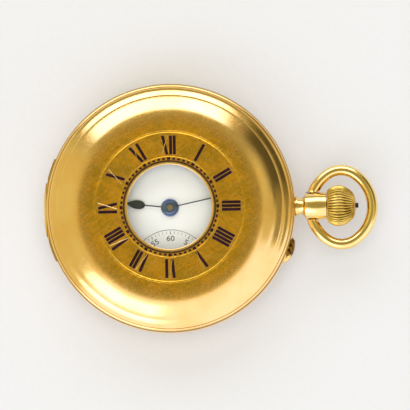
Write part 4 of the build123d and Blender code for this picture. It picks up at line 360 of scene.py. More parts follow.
COVER_TOP = 12.9
COVER_WALL = 0.6
WINDOW_RADIUS = 9.3
COVER_FLAT_RADIUS = 16.5
COVER_SHOULDER = (22.6, 10.9)
COVER_STEP = (22.68, 10.82)
COVER_RIM_VIA = (23.53, 10.40)
COVER_RIM = (24.26, 9.80)
COVER_BEAD = ((24.42, 9.74), (24.68, 9.60), (24.8, 9.3))
COVER_GROOVE = ((0.04, -0.14), (0.10, -0.14))
COVER_FOOT = 8.6
COVER_HEEL = ((24.8, 8.72), (24.74, COVER_FOOT), (23.6, COVER_FOOT), (23.6, 9.4))
COVER_INNER_SHORT = 0.35
WINDOW_EASE = 0.03
WINDOW_EASE_TOP = 0.05
LID_STEPS = 360
LID_SHARP = 14.0
SHARP_ANGLE = 35.0
MERGE_DISTANCE = 0.0000004
ENGRAVED_CIRCLES = ((10.10, 0.045, 0.018), (14.98, 0.09, 0.036), (15.32, 0.03, 0.012))
KNUCKLE_RADIUS = 0.65
KNUCKLE_FILED = 25.4
KNUCKLE_EASE = 0.08
KNUCKLE_STEPS = (12, 32)
KNUCKLE_GAP = 0.03
HINGE_X = -24.7
HINGE_MIDDLE = 3.6


def skin(name, points, closed, material, body, replaced=(), sharp=SHARP_ANGLE):
    """A surface through a grid of points in millimetres, or through a stack of such grids. Each row is a
    loop, and the last row of a closed grid is joined to its first."""
    stack = points if points.ndim == 4 else points[None]
    count, rows, columns = stack.shape[:3]
    index = np.arange(rows * columns).reshape(rows, columns)
    index = np.hstack([index, index[:, :1]])
    if closed:
        index = np.vstack([index, index[:1]])
    faces = np.stack([index[:-1, :-1], index[:-1, 1:], index[1:, 1:], index[1:, :-1]], -1).reshape(-1, 4)
    faces = (faces[None] + (np.arange(count) * rows * columns)[:, None, None]).reshape(-1, 4)
    mesh = bpy.data.meshes.new(name)
    mesh.from_pydata((stack.reshape(-1, 3) * MM).tolist(), [], faces.tolist())
    add_piece(name, mesh, material, body, replaced, sharp)


def add_piece(name, mesh, material, body, replaced=(), sharp=SHARP_ANGLE):
    """Merges a mesh's doubles, faces it outwards, smooths it and hangs it on its body."""
    work = bmesh.new()
    work.from_mesh(mesh)
    bmesh.ops.remove_doubles(work, verts=work.verts, dist=MERGE_DISTANCE)
    bmesh.ops.recalc_face_normals(work, faces=work.faces)
    work.to_mesh(mesh)
    work.free()
    mesh.polygons.foreach_set("use_smooth", np.ones(len(mesh.polygons), bool))
    mesh.set_sharp_from_angle(angle=np.radians(sharp))
    mesh.materials.append(material)
    piece = bpy.data.objects.new(name, mesh)
    bpy.context.scene.collection.objects.link(piece)
    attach(piece, body)
    if replaced:
        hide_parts(*replaced)


def full_turn(steps):
    """Angles that are evenly spaced round a circle."""
    return np.linspace(0, 2 * np.pi, steps, endpoint=False)


def spun(profile, steps, centre=(0.0, 0.0)):
    """A grid of points: a profile of (radius, level) points turned about an upright axis."""
    turn = full_turn(steps)
    radius, level = np.asarray(profile, float).T
    return np.stack([centre[0] + np.outer(radius, np.cos(turn)), centre[1] + np.outer(radius, np.sin(turn)),
                     np.outer(level, np.ones(steps))], -1)


def arc_through(start, via, end, steps):
    """Points from first to last on the circle whose centre is equally far from three points."""
    (ax, ay), (bx, by), (cx, cy) = start, via, end
    d = 2 * (ax * (by - cy) + bx * (cy - ay) + cx * (ay - by))
    a2, b2, c2 = ax * ax + ay * ay, bx * bx + by * by, cx * cx + cy * cy
    ux = (a2 * (by - cy) + b2 * (cy - ay) + c2 * (ay - by)) / d
    uy = (a2 * (cx - bx) + b2 * (ax - cx) + c2 * (bx - ax)) / d
    first, middle, last = [np.arctan2(y - uy, x - ux) for x, y in (start, via, end)]
    sweep = (last - first) % (2 * np.pi)
    if (middle - first) % (2 * np.pi) > sweep:
        sweep -= 2 * np.pi
    turn = first + sweep * np.linspace(0, 1, steps)
    reach = np.hypot(ax - ux, ay - uy)
    return list(zip(ux + reach * np.cos(turn), uy + reach * np.sin(turn)))


def grooved(start, end, level):
    """The flat of the cover from one radius to another, with a V groove at each engraved circle."""
    points = [(start, level)]
    for radius, half, depth in ENGRAVED_CIRCLES:
        points += [(radius - half, level), (radius, level - depth), (radius + half, level)]
    return points + [(end, level)]


def shoulder_arc(start, reach, bend, level, way=1, wall=0.0):
    """Points of a round shoulder that falls away from a level beyond a radius, or of the one within it by a
    wall. Its way is -1 on a lid that faces down."""
    fall = np.sqrt((bend - wall) ** 2 - reach ** 2) - bend
    return list(zip(start + reach, level + way * fall))


def front_cover_profile():
    """From the window over the shoulder, the step and the rim to the foot, and back along the inside."""
    run, drop = COVER_SHOULDER[0] - COVER_FLAT_RADIUS, COVER_TOP - COVER_SHOULDER[1]
    bend = (run ** 2 + drop ** 2) / (2 * drop)
    shoulder = shoulder_arc(COVER_FLAT_RADIUS, np.linspace(0, 1, 40)[1:] * run, bend, COVER_TOP)
    rim = arc_through(COVER_STEP, COVER_RIM_VIA, COVER_RIM, 22)
    groove = [(COVER_RIM[0] + out, COVER_RIM[1] + up) for out, up in COVER_GROOVE]
    bead = arc_through(*COVER_BEAD, 10)
    inner_reach = np.linspace(1, 0, 16) * (run - COVER_INNER_SHORT)
    inside = shoulder_arc(COVER_FLAT_RADIUS, inner_reach, bend, COVER_TOP, wall=COVER_WALL)
    low = COVER_TOP - COVER_WALL
    window = [(WINDOW_RADIUS + WINDOW_EASE, low), (WINDOW_RADIUS, low + WINDOW_EASE),
              (WINDOW_RADIUS, COVER_TOP - WINDOW_EASE_TOP)]
    flat = grooved(WINDOW_RADIUS + WINDOW_EASE_TOP, COVER_FLAT_RADIUS, COVER_TOP)
    return flat + shoulder + rim + groove + bead + list(COVER_HEEL) + inside + window


def knuckle(name, level, body):
    """A hinge barrel along Y with eased ends, filed on its outer side to the round of the case."""
    rows, columns = KNUCKLE_STEPS
    turn = full_turn(columns)
    half, small = HINGE_MIDDLE - KNUCKLE_GAP, KNUCKLE_RADIUS - KNUCKLE_EASE
    middle = np.linspace(KNUCKLE_EASE - half, half - KNUCKLE_EASE, rows)
    along = np.concatenate([[-half, -half], middle, [half, half]])[:, None]
    reach = np.concatenate([[0, small], np.full(rows, KNUCKLE_RADIUS), [small, 0]])
    out = HINGE_X + np.outer(reach, np.cos(turn))
    points = np.stack([np.maximum(out, -np.sqrt(KNUCKLE_FILED ** 2 - along ** 2) * np.ones(columns)),
                       along * np.ones(columns), level + np.outer(reach, np.sin(turn))], -1)
    skin(name, points, False, polished_gold, body)


skin("front_cover_shell", spun(front_cover_profile(), LID_STEPS), True, cover_gold, "front_lid",
     ["front_cover"], sharp=LID_SHARP)
knuckle("front_cover_knuckle", COVER_FOOT, "front_lid")

# Figures of the cover
# Twelve figures of dark blue-black enamel, laid into the gold. Their thin strokes and serifs are bright cuts
# in the gold, and a track of sixty enamelled minutes runs round the window, with a bar at every fifth.

FIGURE_INNER = 10.45
FIGURE_OUTER = 14.35
FIGURE_STROKE = 0.60
FIGURE_SPACING = 0.14
LETTER_WIDTHS = {"I": FIGURE_STROKE, "V": 1.35, "X": 1.50}
LETTERS = ("I", "II", "III", "IIII", "V", "VI", "VII", "VIII", "IX", "X", "XI", "XII")
SERIF_REACH = 0.15
HAIRLINE_WIDTH = 0.10
FINE_SHARP = 20.0
ENAMEL_LEVELS = (COVER_TOP - 0.06, COVER_TOP + 0.02)
HAIRLINE_LEVELS = (COVER_TOP - 0.04, COVER_TOP + 0.05)
HAIRLINE_EASE = 0.06
BAR_EASE = 0.03
MINUTES = 60
HOUR_MARK = 5
TRACK_BAR = (0.70, 9.42, 10.02)
TRACK_DOT = (0.56, 9.46, 9.86)


def on_clock(sideways, outward, hours):
    """Points of the plane from places on a clock face: sideways runs clockwise at an hour."""
    turn = np.radians(90 - 30 * hours)
    return np.stack([outward * np.cos(turn) + sideways * np.sin(turn),
                     outward * np.sin(turn) - sideways * np.cos(turn)], -1)


def bars(rows, low, high, ease=BAR_EASE):
    """A stack of flat bars with eased tops. A row is the hour, the inner and outer radius, and the left and
    right edge at the inner and at the outer end."""
    hour, inner, outer, foot_left, foot_right, head_left, head_right = np.asarray(rows, float).T[:, :, None]
    rings = []
    for inset, level in ((None, low), (0, low), (0, high - ease / 2), (ease, high), (None, high)):
        if inset is None:
            middle = (foot_left + foot_right + head_left + head_right) / 4
            ring_points = on_clock(middle, (inner + outer) / 2, hour).repeat(4, 1)
        else:
            sideways = np.concatenate([foot_left + inset, foot_right - inset, head_right - inset,
                                       head_left + inset], 1)
            outward = np.concatenate([inner + inset, inner + inset, outer - inset, outer - inset], 1)
            ring_points = on_clock(sideways, outward, hour)
        rings.append(np.concatenate([ring_points, np.full(ring_points.shape[:2] + (1,), level)], -1))
    return np.stack(rings, 1)


def figure_rows(inner, outer, stroke, spacing, widths, hours=range(1, 13)):
    """The thick strokes and the thin lines of the figures of a dial, as rows for bars."""
    thick, thin = [], []
    line = HAIRLINE_WIDTH / 2
    for hour in hours:
        letters = LETTERS[hour - 1]
        left = -(sum(widths[letter] for letter in letters) + spacing * (len(letters) - 1)) / 2
        for letter in letters:
            right = left + widths[letter]
            middle = (left + right) / 2
            foot = {"I": left, "V": middle - stroke / 2, "X": right - stroke}[letter]
            thick.append((hour, inner, outer, foot, foot + stroke, left, left + stroke))
            if letter != "I":
                start = middle if letter == "V" else left + 2 * line
                thin.append((hour, inner, outer, start - line, start + line, right - 3 * line, right - line))
            for level in (inner, outer):
                ends = (foot - SERIF_REACH, foot + stroke + SERIF_REACH) if letter != "I" and level == inner \
                    else (left - SERIF_REACH, right + SERIF_REACH)
                thin.append((hour, level - line / 2, level + line / 2, *ends, *ends))
            left = right + spacing
    return thick, thin


def tick_rows(short, long):
    """Sixty ticks round a circle as rows for bars, with a long one at every fifth."""
    rows = []
    for minute in range(MINUTES):
        width, inner, outer = short if minute % HOUR_MARK else long
        rows.append((minute / HOUR_MARK, inner, outer) + (-width / 2, width / 2) * 2)
    return rows


def enamel(name, dark, tint):
    """Dark glass over metal, cloudy in tone and gloss, with a fine ripple."""
    finish = Finish(name)
    cloud = finish.noise(900.0, CLOUD_DETAIL)
    tone = finish.mix(cloud.step(*CLOUD_EDGES), dark, tint)
    return finish.surface(Base_Color=tone, Roughness=0.14 + 0.10 * cloud, Specular_IOR_Level=0.25,
                          Normal=finish.bump(finish.noise(1500.0), 0.000004, 0.4))


figure_enamel = enamel("figure_enamel", (0.016, 0.003, 0.004, 1), (0.026, 0.006, 0.012, 1))
bright_cut = case_gold("bright_cut_gold", 0.30)
thick_rows, thin_rows = figure_rows(FIGURE_INNER, FIGURE_OUTER, FIGURE_STROKE, FIGURE_SPACING, LETTER_WIDTHS)
skin("cover_figures", bars(thick_rows, *ENAMEL_LEVELS), False, figure_enamel, "front_lid",
     ["cover_numerals"], FINE_SHARP)
skin("figure_hairlines", bars(thin_rows, *HAIRLINE_LEVELS, HAIRLINE_EASE), False, bright_cut,
     "front_lid", sharp=FINE_SHARP)
skin("minute_track", bars(tick_rows(TRACK_DOT, TRACK_BAR), *ENAMEL_LEVELS), False, figure_enamel,
     "front_lid", sharp=FINE_SHARP)

# Window
# A gold ring is burnished into the front cover over the edge of a shallow domed crystal, and a line of dark
# cement shows where the ring meets the cover.

RING_INNER = 8.50
RING_LIP = 12.70
RING_TOP = 12.95
RING_PROFILE = ((9.28, 12.30), (9.28, 12.86), (9.20, RING_TOP - 0.03), (9.10, RING_TOP), (8.92, RING_TOP),
                (8.66, 12.925), (8.55, 12.88), (RING_INNER, 12.80), (RING_INNER, RING_LIP), (8.95, RING_LIP),
                (8.95, 12.30))
CEMENT_PROFILE = ((8.96, 12.90), (8.99, 12.965), (9.16, 12.98), (9.33, 12.96), (9.39, 12.88))
WINDOW_STEPS = 240
GLASS_MIRROR = 0.03
GLASS_MIRROR_POWER = 5
GLASS_CLEAR = (0.985, 0.99, 0.985, 1)


def clear_crystal(name):
    """Clear glass: see-through, with a mirror laid over it in the strength that glass reflects."""
    finish = Finish(name)
    facing = finish.node("ShaderNodeLayerWeight", values={"Blend": 0.5}, output="Facing")
    inside = finish.node("ShaderNodeNewGeometry", output="Backfacing")
    shade = finish.node("ShaderNodeLightPath", output="Is Shadow Ray").most(
        finish.node("ShaderNodeLightPath", output="Is Diffuse Ray"))
    edge = (facing ** GLASS_MIRROR_POWER * (1 - GLASS_MIRROR) + GLASS_MIRROR) * (1 - inside) * (1 - shade)
    through = finish.node("ShaderNodeBsdfTransparent", values={"Color": GLASS_CLEAR})
    mirror = finish.node("ShaderNodeBsdfPrincipled", values={"Base Color": (1, 1, 1, 1), "Metallic": 1.0,
                                                             "Roughness": 0.03})
    both = finish.node("ShaderNodeMixShader", values={0: edge, 1: through, 2: mirror})
    finish.node("ShaderNodeOutputMaterial", values={"Surface": both})
    return finish.material


def finish_nodes(material, *names):
    """Gives CAD nodes their finish."""
    for name in names:
        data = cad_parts[name].data
        data.materials.clear()
        data.materials.append(material)


crystal = clear_crystal("clear_crystal")
finish_nodes(crystal, "cover_glass", "dial_glass")
ring_gold = case_gold("ring_gold", 0.22)
skin("window_ring", spun(RING_PROFILE, WINDOW_STEPS), True, ring_gold, "front_lid",
     ["cover_glass_ring"])
skin("window_cement", spun(CEMENT_PROFILE, WINDOW_STEPS), True,
     enamel("dark_cement", (0.035, 0.014, 0.004, 1), (0.07, 0.03, 0.008, 1)), "front_lid")

# Case band, lids at the back and springs
# The band is turned from the same gold, with its hinge knuckles and the two springs that hold and lift the
# front cover. The back cover is a plain polished shell; the inner cover under it is gilt and finely grained.

BACK_FLAT_RADIUS = 14.0
BACK_SHOULDER = (24.3, 2.4)
BACK_RIM_RADIUS = 24.9
BACK_EDGE = 3.6
BACK_RIM_FOOT = 2.72
BACK_INNER_RADIUS = 23.2
BACK_WALL = 0.55
BACK_EASE = 0.06
BACK_EDGE_EASE = 0.05
GRAIN_SIZES = (40.0 * MM, 0.06 * MM, 0.6 * MM)


def back_cover_profile():
    """From the middle of the outside, over the shoulder and rim, to the middle of the inside."""
    run, rise = BACK_SHOULDER[0] - BACK_FLAT_RADIUS, BACK_SHOULDER[1]
    bend = (run ** 2 + rise ** 2) / (2 * rise)
    shoulder = shoulder_arc(BACK_FLAT_RADIUS, np.linspace(0, 1, 36) * run, bend, 0, -1)
    inner_reach = np.linspace(1, 0, 24) * (BACK_INNER_RADIUS - BACK_FLAT_RADIUS)
    inside = shoulder_arc(BACK_FLAT_RADIUS, inner_reach, bend, 0, -1, BACK_WALL)
    rim = [(BACK_RIM_RADIUS - BACK_EASE, BACK_RIM_FOOT - BACK_EASE), (BACK_RIM_RADIUS, BACK_RIM_FOOT),
           (BACK_RIM_RADIUS, BACK_EDGE - BACK_EASE), (BACK_RIM_RADIUS - BACK_EDGE_EASE, BACK_EDGE),
           (BACK_INNER_RADIUS, BACK_EDGE)]
    return [(0, 0), (BACK_FLAT_RADIUS / 2, 0)] + shoulder + rim + inside + [(0, BACK_WALL)]


def grained(name, base, shade, roughness, turn, depth=0.0000025):
    """A metal whose surface was drawn over a fine stone in one direction."""
    finish = Finish(name)
    grain = finish.noise(1.0, CLOUD_DETAIL, finish.stretched(turn, GRAIN_SIZES))
    tone = finish.drift(160.0, base, shade)
    return finish.surface(Base_Color=tone, Metallic=1.0, Roughness=roughness + 0.12 * grain,
                          Normal=finish.bump(grain, depth, 0.6))


satin_gold = grained("satin_gold", (0.86, 0.56, 0.16, 1), (0.80, 0.49, 0.12, 1), 0.22, 12)
back_gold = case_gold("back_gold", 0.14)
skin("back_cover_shell", spun(back_cover_profile(), LID_STEPS), False, back_gold, "back_lid",
     ["back_cover"], sharp=FINE_SHARP)
knuckle("back_cover_knuckle", BACK_EDGE, "back_lid")
finish_nodes(polished_gold, "case_band", "hinge_pins")
finish_nodes(satin_gold, "cuvette", "inner_bezel")
spring_steel = grained("spring_steel", (0.52, 0.53, 0.56, 1), (0.44, 0.45, 0.49, 1), 0.20, 70)
finish_nodes(spring_steel, "lock_spring", "lift_spring", "push_pin")

# Pendant and push guard
# The pendant is turned in one piece and soldered through the band: a collar, a slim neck that flares, and a
# straight head, bored for the sleeve and stem. Below it a half moon guard shields the pin of the push piece.

STEM_LEVEL = 6.1
PENDANT_PROFILE = ((23.2, 1.15), (23.2, 1.75), (25.22, 1.75), (25.22, 1.98), (25.27, 2.08), (25.34, 2.1),
                   (25.50, 2.1), (25.57, 2.06), (25.60, 1.96), (25.62, 1.75), (26.52, 1.75), (26.66, 1.80),
                   (26.84, 2.02), (26.98, 2.28), (27.06, 2.44), (27.08, 2.62), (27.13, 2.71), (27.22, 2.75),
                   (31.26, 2.75), (31.35, 2.72), (31.39, 2.64), (31.40, 2.5), (31.40, 1.25), (31.3, 1.15))
GUARD_ANGLE = -20.0
GUARD_CENTRE = (24.90, -0.2)
GUARD_HALVES = (1.40, 2.70, 1.20)
PENDANT_STEPS = 120
PENDANT_SHARP = 24.0
GUARD_POWERS = (0.55, 0.95)
GUARD_STEPS = (48, 64)
GUARD_RIDGES = 11
GUARD_RIDGE_DEPTH = 0.07
GUARD_BRIGHT_BELOW = -9.7
# Browns of the push guard: painted shade, for the dark room that it reflects
GUARD_SHADE_LIGHT = (0.40, 0.21, 0.04, 1)
GUARD_SHADE_DARK = (0.07, 0.030, 0.006, 1)


def turned_across(profile, steps):
    """A grid of points: a profile of (x, radius) points turned about the axis of the stem."""
    turn = full_turn(steps)
    along, radius = np.asarray(profile, float).T
    return np.stack([np.outer(along, np.ones(steps)), np.outer(radius, np.cos(turn)),
                     STEM_LEVEL + np.outer(radius, np.sin(turn))], -1)


def push_guard_points():
    """A superellipsoid, with ridges across it: each of its half axes is scaled by a signed power of a sine or
    cosine, which squares it up."""
    rows, columns = GUARD_STEPS
    upright, flat = GUARD_POWERS
    rise = np.linspace(-np.pi / 2, np.pi / 2, rows)[:, None]
    turn = np.linspace(0, 2 * np.pi, columns, endpoint=False)[None]

    def squared(value, power):
        return np.sign(value) * np.abs(value) ** power

    out = squared(np.cos(rise), upright) * squared(np.cos(turn), flat)
    along = squared(np.cos(rise), upright) * squared(np.sin(turn), flat)
    up = squared(np.sin(rise), upright) * np.ones(columns)
    ridge = 1 - GUARD_RIDGE_DEPTH * (0.5 + 0.5 * np.cos(GUARD_RIDGES * np.pi * along)) * np.cos(rise)
    x = GUARD_CENTRE[0] + GUARD_HALVES[0] * out * ridge
    y = GUARD_CENTRE[1] + GUARD_HALVES[1] * along
    spin = np.radians(GUARD_ANGLE)
    return np.stack([x * np.cos(spin) - y * np.sin(spin), x * np.sin(spin) + y * np.cos(spin),
                     STEM_LEVEL + GUARD_HALVES[2] * up * ridge], -1)


skin("pendant_turned", turned_across(PENDANT_PROFILE, PENDANT_STEPS), True, lightened_fitting_gold, "case",
     ["pendant"], sharp=PENDANT_SHARP)


def tarnished(name):
    """Gold under a brown painted shade, for the dark room that the guard reflects; its lower end keeps the
    plain polished gold.
    """
    finish = Finish(name)
    y = finish.parts(finish.place())[1]
    bright = y.step(GUARD_BRIGHT_BELOW * MM, (GUARD_BRIGHT_BELOW - 0.5) * MM)
    # Painted shade in brown over the guard; below the bound it keeps the plain pale gold
    brown = finish.drift(1400.0, GUARD_SHADE_LIGHT, GUARD_SHADE_DARK, (0.40, 0.60))
    tone = finish.mix(bright, brown, GOLD_PALE)
    return finish.surface(Base_Color=tone, Metallic=1.0, Roughness=0.30 - 0.15 * bright,
                          Normal=finish.bump(finish.noise(2400.0), 0.000004, 0.5))


# The push guard's gold, with painted shade
guard_painted_shade = tarnished("guard_painted_shade")
skin("push_guard_ridged", push_guard_points(), False, guard_painted_shade, "case", ["push_guard"])

# Bow
# A ring of round gold wire, bent to an oval whose feet turn on pins in the sides of the pendant's head. It
# has worn loose, so it hangs a little towards six o'clock.

BOW_CENTRE_X = 34.35
BOW_HALVES = (6.24, 7.45)
BOW_END_RADIUS = 4.8
BOW_WIRE_RADIUS = 1.1
BOW_FOOT = 2.82
BOW_PIVOT_X = 28.6
BOW_PLAY = -0.3
BOW_STEPS = (14, 40, 40)
BOW_FOOT_INSET = 1.0
BOW_FOOT_REACH = 3
BOW_SHARP = 50.0
BOW_PIN = ((0, 1.9), (0.62, 1.9), (0.62, 3.1), (0, 3.1))
BOW_PIN_STEPS = 24


def capped(points):
    """A grid that is closed at both ends, by one more row on each that is all at the end's middle."""
    ends = [np.repeat(points[index].mean(0)[None], points.shape[1], 0)[None] for index in (0, -1)]
    return np.concatenate([ends[0], points, ends[1]])


def bow_points():
    """The wire's middle line is four arcs: a wide one at each end of the oval and a tighter one at each side.
    A circle is carried along it, square to it, and the feet are cut level beside the pendant."""
    foot_steps, arc_steps, columns = BOW_STEPS
    rise, offset = BOW_HALVES[1] - BOW_END_RADIUS, BOW_HALVES[0] - BOW_END_RADIUS
    shift = (rise ** 2 - offset ** 2) / (2 * offset)
    wide = BOW_HALVES[0] + shift
    corner = np.arctan2(rise, shift)
    start = np.arcsin((BOW_FOOT - BOW_FOOT_INSET) / wide)
    parts = ((shift, 0, wide, np.pi - start, np.pi - corner, foot_steps),
             (0, rise, BOW_END_RADIUS, np.pi - corner, corner, arc_steps),
             (-shift, 0, wide, corner, -corner, arc_steps),
             (0, -rise, BOW_END_RADIUS, -corner, corner - np.pi, arc_steps),
             (shift, 0, wide, corner - np.pi, start - np.pi, foot_steps))
    line, across = [], []
    for x, y, radius, first, last, steps in parts:
        turn = np.linspace(first, last, steps, endpoint=False)
        line.append(np.stack([BOW_CENTRE_X + x + radius * np.cos(turn), y + radius * np.sin(turn)], -1))
        across.append(np.stack([np.cos(turn), np.sin(turn)], -1))
    line, across = np.concatenate(line), np.concatenate(across)
    turn = full_turn(columns)
    flat = line[:, None] + BOW_WIRE_RADIUS * across[:, None] * np.cos(turn)[None, :, None]
    level = STEM_LEVEL + BOW_WIRE_RADIUS * np.sin(turn) * np.ones((len(line), 1))
    points = np.concatenate([flat, level[..., None]], -1)
    points[..., 1] += BOW_PLAY
    side = np.sign(line[:, 1])[:, None]
    near_foot = (points[..., 0] < BOW_PIVOT_X + BOW_FOOT_REACH) & (side * points[..., 1] < BOW_FOOT)
    points[..., 1] = np.where(near_foot, side * BOW_FOOT, points[..., 1])
    return capped(points)


def pin_points():
    """A profile of (radius, y) points turned about the bow's pivot, and the same on the other side."""
    turn, side = full_turn(BOW_PIN_STEPS), np.array((-1, 1))[:, None, None]
    radius, y = np.array(BOW_PIN).T[:, None, :, None]
    return np.stack(np.broadcast_arrays(BOW_PIVOT_X + radius * np.cos(turn), side * y,
                                        STEM_LEVEL + radius * np.sin(turn)), -1)


skin("bow_wire", bow_points(), False, lightened_fitting_gold, "bow_ring", ["bow"], sharp=BOW_SHARP)
skin("bow_pins", pin_points(), False, lightened_fitting_gold, "bow_ring")

# Crown
# A hollow gold crown, pressed and then fluted with forty round ribs, with years of grime in the valleys. It
# is on a blackened steel stem, whose end shows as a small nub.

CROWN_SIDE = ((31.50, 3.02), (31.56, 3.14), (33.75, 4.11), (35.90, 3.30))
CROWN_END = ((35.90, 3.30), (36.82, 2.36), (37.20, 1.15))
CROWN_BORE = ((32.4, 0.0), (32.4, 2.8), (31.50, 2.85))
CROWN_NUB = ((37.40, 0.62), (37.40, 0.0))
CROWN_RIBS = 40
CROWN_RIB_STEPS = 12
CROWN_RIB_POWER = 0.8
CROWN_VALLEY = (0.62, 0.18)
CROWN_SHARP = 60.0
CROWN_RIB_DEPTH = 0.30
CROWN_RIB_FADE = (31.52, 31.72, 36.75, 37.12)
CROWN_GOLD = (0.90, 0.62, 0.15, 1)
CROWN_BROWN = (0.66, 0.43, 0.07, 1)
CROWN_GRIME = (0.07, 0.032, 0.004, 1)


def crown_points():
    """The profile is two arcs turned about the stem. Each rib is the absolute cosine of half its turn, which
    is round on top and sharp between, and the ribs fade where the crown ends."""
    columns = CROWN_RIBS * CROWN_RIB_STEPS
    side = arc_through(*CROWN_SIDE[1:], 44)
    end = arc_through(*CROWN_END, 16)[1:]
    profile = np.array([*CROWN_BORE, CROWN_SIDE[0], *side, *end, *CROWN_NUB])
    points = turned_across(profile, columns)
    low, low_full, high_full, high = CROWN_RIB_FADE
    along = profile[:, 0]
    fade = np.clip(np.minimum((along - low) / (low_full - low), (high - along) / (high - high_full)), 0, 1)
    fade[:len(CROWN_BORE)] = 0
    turn = full_turn(columns)
    valley = 1 - np.abs(np.cos(CROWN_RIBS / 2 * turn)) ** CROWN_RIB_POWER
    radius = profile[:, 1][:, None]
    scale = 1 - CROWN_RIB_DEPTH * fade[:, None] * valley / np.maximum(radius, 1)
    points[..., 1] *= scale
    points[..., 2] = STEM_LEVEL + (points[..., 2] - STEM_LEVEL) * scale
    return points


def grimy_gold(name):
    """Gold that is brown in the valleys, where the cosine of half the ribs' turn is near nothing."""
    finish = Finish(name)
    x, y, z = finish.parts(finish.place())
    turn = (z - STEM_LEVEL * MM).math("ARCTAN2", y)
    rib = (turn * (CROWN_RIBS / 2)).math("COSINE").absolute()
    low, low_full, high_full, high = CROWN_RIB_FADE
    ribbed = x.step(low * MM, low_full * MM) * x.step((high - 0.1) * MM, (high_full - 0.5) * MM)
    mottled_tone = finish.drift(420.0, CROWN_GOLD, CROWN_BROWN, CLOUD_EDGES_FIRM)
    valley = rib.step(*CROWN_VALLEY) * ribbed
    tone = finish.mix(valley * 0.92, mottled_tone, CROWN_GRIME)
    return finish.surface(Base_Color=tone, Metallic=1.0, Roughness=0.24 + 0.3 * valley,
                          Normal=finish.bump(finish.noise(1800.0), 0.000002, 0.4))


crown_gold = grimy_gold("crown_gold")
skin("crown_fluted", crown_points(), False, crown_gold, "crown_and_stem", ["crown"], sharp=CROWN_SHARP)
black_steel = grained("black_steel", (0.050, 0.048, 0.052, 1), (0.022, 0.021, 0.024, 1), 0.30, 0)
finish_nodes(black_steel, "winding_stem", "push_sleeve")

# Dial
# White enamel fired on copper, with a seconds circle sunk below the middle. Figures and tracks are printed,
# in black and in a worn grey; under the closed cover only the top of the seconds circle shows.

DIAL_LEVEL = 9.5
SECONDS_LEVEL = 9.35
SECONDS_CENTRE = (0.0, -12.4)
PRINT_SINK = 0.01
PRINT_PROUD = 0.012
PRINT_EASE = 0.004
DIAL_LETTER_WIDTHS = {"I": 0.52, "V": 1.9, "X": 2.1}
DIAL_SPACING = 0.34
# The hours whose figures run from one radius to another; those beside the seconds circle are cut short
DIAL_FIGURES = (((12, 1, 2, 3, 4, 8, 9, 10, 11), 15.7, 18.9), ((5, 7), 17.4, 18.9))
DIAL_CIRCLES = (19.35, 20.05)
DIAL_TICK = (0.07, 19.35, 20.05)
DIAL_TICK_LONG = (0.22, 19.35, 20.05)
SECONDS_CIRCLE = 7.96
SECONDS_TICK = (0.09, 7.22, 7.66)
SECONDS_TICK_LONG = (0.17, 7.06, 7.66)
SECONDS_FIGURE_RADIUS = 6.2
SECONDS_FIGURE_SIZE = 1.50
FIGURE_WIDENING = 1.12
FIGURE_WEIGHT = 0.022
PRINT_LINE = 0.05
PRINT_STEPS = 180


def printed_circle(radius, level, centre=(0.0, 0.0)):
    """A thin ring of print, as a closed profile of four corners turned about an upright axis."""
    low, high = level - PRINT_SINK, level + PRINT_PROUD
    return spun(((radius - PRINT_LINE, low), (radius - PRINT_LINE, high), (radius + PRINT_LINE, high),
                 (radius + PRINT_LINE, low)), PRINT_STEPS, centre)


def printed_rows(rows, level):
    """Bars of print on a level of the dial."""
    return bars(rows, level - PRINT_SINK, level + PRINT_PROUD, PRINT_EASE)


def seconds_numbers():
    """The figures of the seconds, with their tops outward, in one mesh in metres."""
    work = bmesh.new()
    for value in range(HOUR_MARK, MINUTES + 1, HOUR_MARK):
        curve = bpy.data.curves.new("number", "FONT")
        curve.body = str(value)
        curve.size = SECONDS_FIGURE_SIZE
        curve.align_x = curve.align_y = "CENTER"
        curve.extrude = (PRINT_SINK + PRINT_PROUD) / 2
        curve.offset = FIGURE_WEIGHT
        holder = bpy.data.objects.new("number", curve)
        bpy.context.scene.collection.objects.link(holder)
        shape = holder.evaluated_get(bpy.context.evaluated_depsgraph_get())
        mesh = bpy.data.meshes.new_from_object(shape)
        bpy.data.objects.remove(holder)
        turn = Matrix.Rotation(-2 * np.pi * value / MINUTES, 4, "Z")
        middle = (*SECONDS_CENTRE, SECONDS_LEVEL + (PRINT_PROUD - PRINT_SINK) / 2)
        wider = Matrix.Diagonal((FIGURE_WIDENING, 1.0, 1.0, 1.0))
        mesh.transform(Matrix.Scale(MM, 4) @ Matrix.Translation(middle) @ turn
                       @ Matrix.Translation((0, SECONDS_FIGURE_RADIUS, 0)) @ wider)
        work.from_mesh(mesh)
        bpy.data.meshes.remove(mesh)
    numbers = bpy.data.meshes.new("numbers")
    work.to_mesh(numbers)
    work.free()
    return numbers


def fired_enamel(name, white, cream, roughness):
    """Glassy enamel: an even white with a slow drift of tone and a very slightly wavy surface."""
    finish = Finish(name)
    tone = finish.drift(120.0, white, cream, detail=2.0)
    return finish.surface(Base_Color=tone, Roughness=roughness + 0.05 * finish.noise(900.0),
                          Normal=finish.bump(finish.noise(260.0), 0.000010, 0.5))


